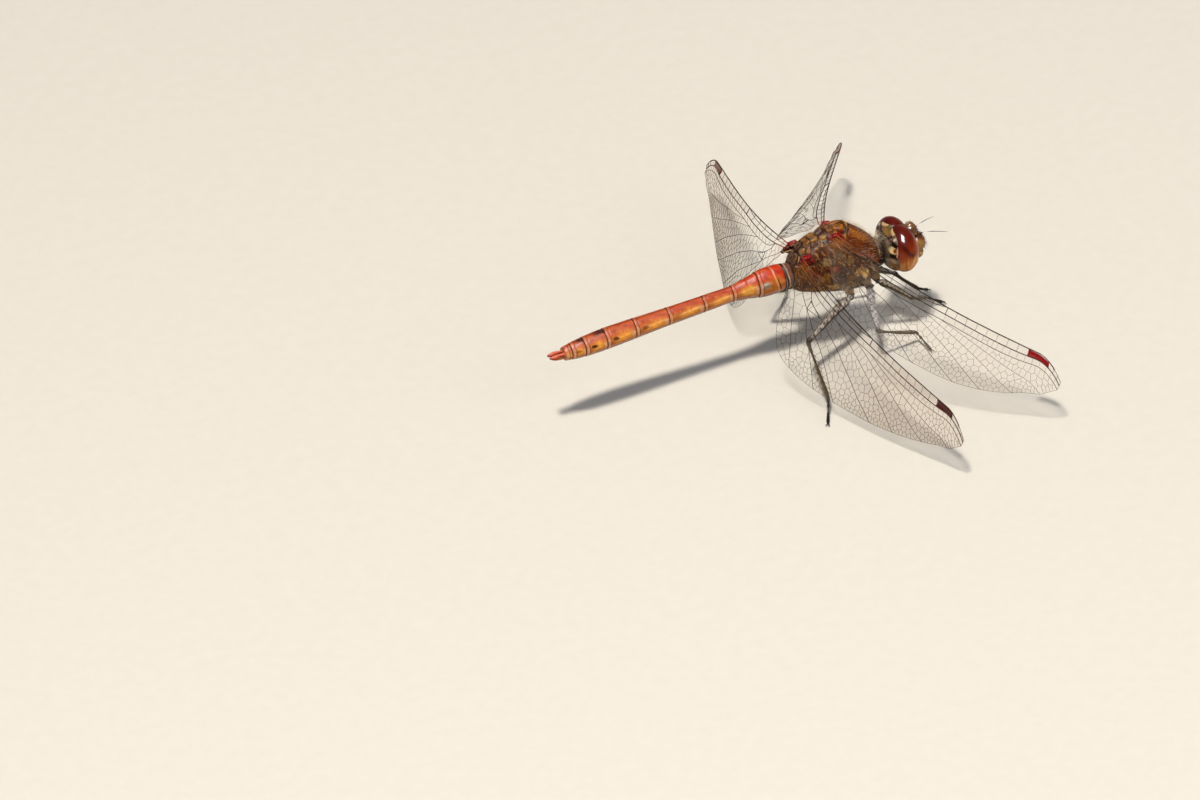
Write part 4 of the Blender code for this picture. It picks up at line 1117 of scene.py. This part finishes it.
# Height of the pleats against the distance behind the front edge: valley at the subcosta, ridge at the radius.
PLEATS = ((0.0, 0.0), (0.4, -0.1), (0.8, 0.12), (1.4, -0.05), (2.2, 0.05), (3.2, -0.03), (4.5, 0.0), (9.0, 0.0))
FRONT_EDGE_RADIUS = 0.06
TIP_RADIUS = 0.03
CORNER_RADIUS = 0.024
REAR_EDGE_RADIUS = 0.02
NODUS_RADIUS = 0.045
ANTENODAL_RADIUS = 0.0286
CROSSVEIN_RADIUS = 0.022
TRIANGLE_RADIUS = 0.032
NET_RADIUS = 0.016
MEMBRANE_THICKNESS = 0.012
TIP_CROSSVEINS = (0.955, 0.978)
SETTLING_ROUNDS = 14      # how often the cells are moved to the middle of their share of a field
MIRROR_REACH = 1.6        # cells nearer than this to a vein are mirrored in it, so that walls end on it squarely
SHORTEST_WALL = 0.06
NARROWEST_FIELD = 0.16
# Colour of the pterostigma of each wing, the red cell near its tip: one dark red, made lighter or darker from wing to
# wing as painted light and shade.
STIGMA_LIT_AND_SHADED_COLOURS = {"fore_right": "#84090A", "hind_right": "#450C08", "fore_left": "#6E0E0A", "hind_left": "#5A0E0A"}
# Chord: the wing's breadth against the share of its length. Veins, from the front back: radius, and how far
# each lies behind the front edge, from its start to its end. The first is the subcosta, which ends in the
# front edge at the nodus; after it come the radius, its sector, the branches, media, cubitus and anal veins.
FOREWING = {
    "root": (4.75, 1.36, 3.95), "length": 28.2, "sweep": 29.0, "droop": 14.4, "pitch": (20.1, 52.6),
    "nodus": 0.5, "antenodals": 8, "postnodals": 8, "stigma": (0.842, 0.932),
    "chord": ((0.0, 1.8), (0.05, 3.0), (0.1, 4.4), (0.2, 6.0), (0.3, 6.5), (0.4, 6.7), (0.5, 6.7), (0.6, 6.6),
              (0.7, 6.2), (0.8, 5.4), (0.9, 4.1), (0.95, 3.2), (1.0, 1.4)),
    "veins": (
        (0.034, ((0.0, 0.28), (0.1, 0.4), (0.3, 0.42), (0.45, 0.3), (0.5, 0.0))),
        (0.052, ((0.0, 0.55), (0.1, 0.8), (0.3, 0.84), (0.5, 0.72), (0.85, 0.72), (1.0, 0.35))),
        (0.034, ((0.1, 0.8), (0.15, 1.25), (0.3, 1.55), (0.5, 1.35), (0.85, 1.4), (1.0, 0.75))),
        (0.028, ((0.5, 1.36), (0.6, 1.7), (0.7, 2.15), (0.8, 2.65), (0.95, 3.1))),
        (0.028, ((0.42, 1.42), (0.5, 1.85), (0.6, 2.45), (0.7, 3.25), (0.8, 4.25), (0.86, 4.8))),
        (0.028, ((0.3, 1.55), (0.4, 2.15), (0.5, 2.95), (0.6, 3.95), (0.7, 5.2), (0.76, 5.9))),
        (0.03, ((0.105, 0.85), (0.15, 1.75), (0.3, 2.75), (0.4, 3.55), (0.5, 4.5), (0.6, 5.7), (0.66, 6.4))),
        (0.03, ((0.0, 1.0), (0.1, 1.95), (0.17, 2.8), (0.25, 3.55), (0.35, 4.6), (0.45, 5.9), (0.5, 6.7))),
        (0.026, ((0.165, 2.74), (0.25, 4.2), (0.32, 5.4), (0.37, 6.5))),
    ),
    "triangle": ((0.165, 1.95), (0.165, 2.72), (0.225, 2.3)),
}
HINDWING = {
    "root": (0.86, 1.88, 2.55), "length": 28.55, "sweep": 8.5, "droop": 11.4, "pitch": (49.7, 73.6),
    "nodus": 0.44, "antenodals": 6, "postnodals": 9, "stigma": (0.825, 0.913),
    "chord": ((0.0, 2.5), (0.05, 6.0), (0.1, 8.0), (0.15, 8.7), (0.2, 8.9), (0.3, 8.8), (0.4, 8.4), (0.5, 7.9),
              (0.6, 7.3), (0.7, 6.5), (0.8, 5.5), (0.9, 4.2), (0.95, 3.3), (1.0, 1.4)),
    "veins": (
        (0.034, ((0.0, 0.28), (0.1, 0.4), (0.3, 0.4), (0.4, 0.25), (0.44, 0.0))),
        (0.052, ((0.0, 0.55), (0.1, 0.8), (0.3, 0.82), (0.44, 0.72), (0.85, 0.72), (1.0, 0.35))),
        (0.034, ((0.075, 0.76), (0.12, 1.25), (0.25, 1.55), (0.44, 1.38), (0.85, 1.42), (1.0, 0.75))),
        (0.028, ((0.46, 1.38), (0.55, 1.8), (0.7, 2.5), (0.8, 3.1), (0.94, 3.4))),
        (0.028, ((0.38, 1.45), (0.46, 1.9), (0.6, 2.95), (0.7, 3.95), (0.83, 5.2))),
        (0.028, ((0.27, 1.55), (0.36, 2.2), (0.46, 3.1), (0.56, 4.3), (0.66, 5.8), (0.7, 6.5))),
        (0.03, ((0.08, 0.8), (0.12, 1.9), (0.2, 2.6), (0.3, 3.4), (0.4, 4.5), (0.5, 5.9), (0.6, 7.3))),
        (0.03, ((0.0, 1.0), (0.08, 2.3), (0.13, 3.1), (0.2, 4.1), (0.3, 5.5), (0.38, 7.2), (0.43, 8.3))),
        (0.026, ((0.13, 3.1), (0.18, 4.8), (0.25, 6.4), (0.33, 8.7))),
        (0.026, ((0.0, 1.3), (0.05, 3.0), (0.09, 4.6), (0.14, 6.5), (0.2, 8.9))),
    ),
    "triangle": ((0.128, 2.15), (0.128, 3.05), (0.195, 2.7)),
}


def setback(s):
    """How far the front edge lies behind the straight line from root to tip."""
    tip = np.maximum(0.0, (s - TIP_START) / (1 - TIP_START))
    return TIP_SETBACK * tip ** 2 + FRONT_EDGE_BOW * np.sin(math.pi * np.minimum(s / 0.885, 1.0))


def breadth(wing, s):
    """The wing's width from front to rear edge at a share s of its length."""
    return curve(wing["chord"], s) - TRAILING_SHARE_OF_SETBACK * setback(s)


def wing_points(wing, side, s, v, lift=0.0):
    """Points of the pleated wing at shares s of its length and v mm behind its front edge."""
    sweep, droop = math.radians(wing["sweep"]), math.radians(wing["droop"])
    span = np.array((math.sin(sweep) * math.cos(droop), side * math.cos(sweep) * math.cos(droop), -math.sin(droop)))
    rear = np.array((-1.0, 0, 0)) + span[0] * span
    rear /= np.linalg.norm(rear)
    upper = np.cross(span, rear * side)
    pitch = np.radians(wing["pitch"][0] + (wing["pitch"][1] - wing["pitch"][0]) * s)
    height = curve(PLEATS, v) * (1 - 0.5 * s) + 0.03 * np.sin(s * 31 + v * 1.9) * np.minimum(1, v / 2) + lift
    depth = setback(s) + v
    return (np.array(wing["root"]) * (1, side, 1) + np.multiply.outer(wing["length"] * s, span)
            + np.multiply.outer(depth * np.cos(pitch) + height * np.sin(pitch), rear)
            + np.multiply.outer(height * np.cos(pitch) - depth * np.sin(pitch), upper))


def vein_depth(wing, index, s):
    """Depth of a vein at s: before it starts it runs in the one ahead, past its end in the rear edge."""
    s = np.asarray(s, dtype=float)
    if index < 0:
        return 0 * s
    rear = breadth(wing, s)
    if index >= len(wing["veins"]):
        return rear
    path = wing["veins"][index][1]
    ahead = vein_depth(wing, index - 1, s)
    inside = np.minimum(np.maximum(curve(path, s), ahead), rear)
    past = rear if index else 0 * s
    return np.where(s < path[0][0], ahead, np.where(s > path[-1][0], past, inside))


def cell_area(wing, s, v):
    """Area of a wing cell in mm2: large near the front and root, small along the rear edge and tip."""
    inside = np.clip((breadth(wing, s) - v) / 3.5, 0, 1)
    return (0.2 + 0.42 * inside) * (1.25 - 0.55 * s)


def spread_seeds(samples, weights, number, rng):
    """Places for that many cells, evenly spread over weighted samples."""
    seeds = samples[rng.choice(len(samples), number, replace=False, p=weights / weights.sum())]
    for _ in range(SETTLING_ROUNDS):
        nearest = ((samples[:, None, :] - seeds[None]) ** 2).sum(2).argmin(1)
        for k in range(number):
            mine = nearest == k
            if mine.any():
                seeds[k] = (samples[mine] * weights[mine, None]).sum(0) / weights[mine].sum()
    return seeds


def circumcentre(a, b, c):
    """Centre of the circle through three points, or None where they are in line."""
    d = 2 * (a.x * (b.y - c.y) + b.x * (c.y - a.y) + c.x * (a.y - b.y))
    if abs(d) < 1e-9:
        return None
    aa, bb, cc = a.length_squared, b.length_squared, c.length_squared
    return ((aa * (b.y - c.y) + bb * (c.y - a.y) + cc * (a.y - b.y)) / d,
            (aa * (c.x - b.x) + bb * (a.x - c.x) + cc * (b.x - a.x)) / d)


def field_net(wing, index, start, end, rng):
    """The cell walls between two neighbouring veins, as arrays of (s, depth) for their two ends."""
    length = wing["length"]
    count_s, count_q = max(12, int((end - start) * length * 6)), 12
    s = start + (end - start) * (np.repeat(np.arange(count_s), count_q) + 0.5) / count_s
    q = (np.tile(np.arange(count_q), count_s) + 0.5) / count_q
    top, bottom = vein_depth(wing, index - 1, s), vein_depth(wing, index, s)
    v = top + (bottom - top) * q
    samples = np.stack((length * s, v), axis=1)
    weights = (end - start) * length / count_s * (bottom - top) / count_q / cell_area(wing, s, v)
    number = max(2, int(round(weights.sum())))
    if number >= len(samples):
        return []
    seeds = spread_seeds(samples, weights, number, rng)
    edge = np.linspace(start, end, 90)
    rims = [np.stack((length * edge, vein_depth(wing, k, edge)), axis=1) for k in (index - 1, index)]
    for s in (start, end):
        low, high = float(vein_depth(wing, index - 1, s)), float(vein_depth(wing, index, s))
        rims.append(np.stack((np.full(12, length * s), np.linspace(low, high, 12)), axis=1))
    points = [tuple(seed) for seed in seeds]
    for rim in rims:
        for seed in seeds:
            near = rim[((rim - seed) ** 2).sum(1).argmin()]
            if np.hypot(*(near - seed)) < MIRROR_REACH:
                points.append(tuple(2 * near - seed))
    made = geometry.delaunay_2d_cdt([Vector(point) for point in points], [], [], 0, 1e-7)
    places, triangles, origins = made[0], made[2], made[3]
    walls = {}
    for corners in triangles:
        centre = circumcentre(*[places[k] for k in corners])
        if centre is not None:
            for i, j in ((0, 1), (1, 2), (2, 0)):
                walls.setdefault(tuple(sorted((corners[i], corners[j]))), []).append(centre)
    ends = [centres for pair, centres in walls.items() if len(centres) == 2
            and all(origins[k] and min(origins[k]) < number for k in pair)]
    if not ends:
        return []
    ends = np.array(ends)
    s = np.clip(ends[..., 0] / length, start, end)
    v = np.clip(ends[..., 1], vein_depth(wing, index - 1, s), vein_depth(wing, index, s))
    kept = np.hypot((s[:, 0] - s[:, 1]) * length, v[:, 0] - v[:, 1]) > SHORTEST_WALL
    return list(zip(s[kept], v[kept]))


def wing_net(wing, seed):
    """All the veins of a wing, as (radius, s array, depth array) lines."""
    rng = np.random.default_rng(seed)
    front, tip, rear = np.linspace(0, 0.96, 80), np.linspace(0.96, 1.0, 12), np.linspace(1.0, 0.0, 120)
    corner = np.linspace(0, float(breadth(wing, 1.0)), 6)
    lines = [(FRONT_EDGE_RADIUS, front, 0 * front), (TIP_RADIUS, tip, 0 * tip),
             (CORNER_RADIUS, 0 * corner + 1.0, corner), (REAR_EDGE_RADIUS, rear, breadth(wing, rear))]
    for index, (radius, path) in enumerate(wing["veins"]):
        start, end = path[0][0], path[-1][0]
        s = np.linspace(start, end, max(12, int((end - start) * 90)))
        lines.append((radius, s, vein_depth(wing, index, s)))
    antenodals = np.linspace(0.03, wing["nodus"], wing["antenodals"] + 1)
    for place in antenodals:
        s = place + np.array((0.0, 0.002, 0.006))
        v = np.array((0.0, vein_depth(wing, 0, s[1]), vein_depth(wing, 1, s[2])))
        lines.append((NODUS_RADIUS if place == antenodals[-1] else ANTENODAL_RADIUS, s, v))
    postnodals = np.linspace(wing["nodus"], wing["stigma"][0], wing["postnodals"] + 1)[1:-1]
    for place in (*postnodals, *TIP_CROSSVEINS):
        s = place + np.array((0.0, 0.004))
        lines.append((CROSSVEIN_RADIUS, s, np.array((0.0, vein_depth(wing, 1, s[1])))))
    for a, b in ((0, 1), (1, 2), (2, 0)):
        lines.append((TRIANGLE_RADIUS, *np.array((wing["triangle"][a], wing["triangle"][b])).T))
    grid = np.linspace(0.004, 0.996, 249)
    for index in range(2, len(wing["veins"]) + 1):
        is_open = vein_depth(wing, index, grid) - vein_depth(wing, index - 1, grid) > NARROWEST_FIELD
        changes = np.flatnonzero(np.diff(np.concatenate(([0], is_open, [0]))))
        for first, last in zip(changes[::2], changes[1::2]):
            if last - first > 8:
                lines += [(NET_RADIUS, *ends) for ends in field_net(wing, index, grid[first], grid[last - 1], rng)]
    return lines


# Vein cuticle: hard, near black, with a satin gleam; amber where it leaves the body.
vein_cuticle = cuticle("vein_cuticle", 0.5, 0.0, 0.15, 0.4, 0.05, 0.002)
# Pterostigma cuticle: a thick blood-filled cell, smooth and glossy like sealing wax.
stigma_cuticle = cuticle("stigma_cuticle", 0.3, 0.5, 0.18, 0.25, 0.06, 0.006)
# Wing membrane: colourless chitin, thinner than paper, smooth and glossy, crinkled between the veins.
CRINKLE = 1 / 1.4    # size of the crinkles
wing_membrane, shader = new_material("wing_membrane", {"Roughness": 0.24, "Specular IOR Level": 0.2})
pigment = add_node(wing_membrane, "ShaderNodeAttribute", (("attribute_name", "pigment"),))
link(wing_membrane, pigment, "Color", shader, "Base Color")
link(wing_membrane, pigment, "Alpha", shader, "Alpha")
where = add_node(wing_membrane, "ShaderNodeTexCoord", ())
crinkle = add_node(wing_membrane, "ShaderNodeTexNoise", (("Scale", 1 / (CRINKLE * MM)), ("Detail", 2.0)),
                   (("Vector", where, "Object"),))
relief = add_node(wing_membrane, "ShaderNodeBump", (("Strength", 0.6), ("Distance", 0.04 * MM)),
                  (("Height", crinkle, 0),))
link(wing_membrane, relief, 0, shader, "Normal")


def vein_tubes(wing, side, net, radius):
    """The net's lines of one radius as solid tubes, by way of a curve with a round bevel."""
    points, edges = [], []
    for line_radius, s, v in net:
        if line_radius == radius:
            edges += [(len(points) + k, len(points) + k + 1) for k in range(len(s) - 1)]
            points += list(wing_points(wing, side, s, v))
    tube = new_mesh("veins", np.array(points), edges, [])
    select_only(tube)
    bpy.ops.object.convert(target="CURVE")
    tube.data.bevel_depth = radius * MM
    tube.data.bevel_resolution = 0 if radius < TIP_RADIUS else 1
    tube.data.use_fill_caps = True
    bpy.ops.object.convert(target="MESH")
    return bpy.context.active_object


def build_wing(name, side, wing, net, stigma_colour, painted_sheen):
    """Veins, membrane and pterostigma of one wing."""
    def share_of(piece):
        from_root = np.stack(points_of(piece), axis=1) - np.array(wing["root"]) * (1, side, 1)
        return np.linalg.norm(from_root, axis=1) / wing["length"]

    veins = join([vein_tubes(wing, side, net, radius) for radius in sorted({line[0] for line in net})], name + "_veins")
    share = share_of(veins)
    paint(veins, painted("#1C130D", ("#8A4412", fall(0.02, 0.14, share)), ("#4A3420", rise(0.45, 0.9, share) * 0.7)))
    finish_piece(veins, vein_cuticle, "wing")

    select_only()
    bpy.ops.mesh.primitive_grid_add(x_subdivisions=150, y_subdivisions=36, size=1.0)
    sheet = bpy.context.active_object
    s, across, _ = read_points(sheet).T + 0.5
    place_points(sheet, wing_points(wing, side, s, breadth(wing, s) * across))
    thickness = sheet.modifiers.new("thickness", "SOLIDIFY")
    thickness.thickness = MEMBRANE_THICKNESS * MM
    thickness.offset = 0.0
    bpy.ops.object.modifier_apply(modifier="thickness")
    join([sheet], name + "_membrane")
    share = share_of(sheet)
    amber = fall(0.01, 0.09, share)
    # A painted sheen: a tan colour and extra opacity towards the tip, strongest on the hindwings.
    colour = painted("#B8A078", ("#C47814", amber), ("#A87C42", painted_sheen * rise(0.3, 0.6, share)))
    opacity = 0.015 + 0.08 * amber + 0.03 * rise(0.2, 0.4, share) + 0.12 * painted_sheen * rise(0.35, 0.65, share)
    paint(sheet, np.column_stack((colour, opacity)))
    finish_piece(sheet, wing_membrane, "wing", name)

    select_only()
    bpy.ops.mesh.primitive_cube_add(size=1.0)
    stigma = bpy.context.active_object
    bpy.ops.object.mode_set(mode="EDIT")
    bpy.ops.mesh.select_all(action="SELECT")
    bpy.ops.mesh.subdivide(number_cuts=13)
    bpy.ops.object.mode_set(mode="OBJECT")
    a, b, c = read_points(stigma).T + 0.5
    near, far = wing["stigma"]
    s = near + (far - near) * a + 0.006 * (b - 0.5)
    swell = (1 - (2 * a - 1) ** 6) * (1 - (2 * b - 1) ** 4)
    place_points(stigma, wing_points(wing, side, s, vein_depth(wing, 1, s) * (0.04 + 0.92 * b),
                                     (c - 0.5) * (0.05 + 0.13 * swell)))
    face_outwards(stigma)
    join([stigma], name + "_pterostigma")
    paint(stigma, painted(stigma_colour, ("#1A0806", fall(0.02, 0.1, np.minimum(b, 1 - b)))))
    finish_piece(stigma, stigma_cuticle, "wing")


# The last value of each pair is the strength of its membranes' painted sheen.
for pair, wing, seed, painted_sheen in (("fore", FOREWING, 11, 0.2), ("hind", HINDWING, 23, 0.8)):
    net = wing_net(wing, seed)
    for hand, side in SIDES:
        build_wing("wing_%s_%s" % (pair, hand), side, wing, net, STIGMA_LIT_AND_SHADED_COLOURS["%s_%s" % (pair, hand)], painted_sheen)
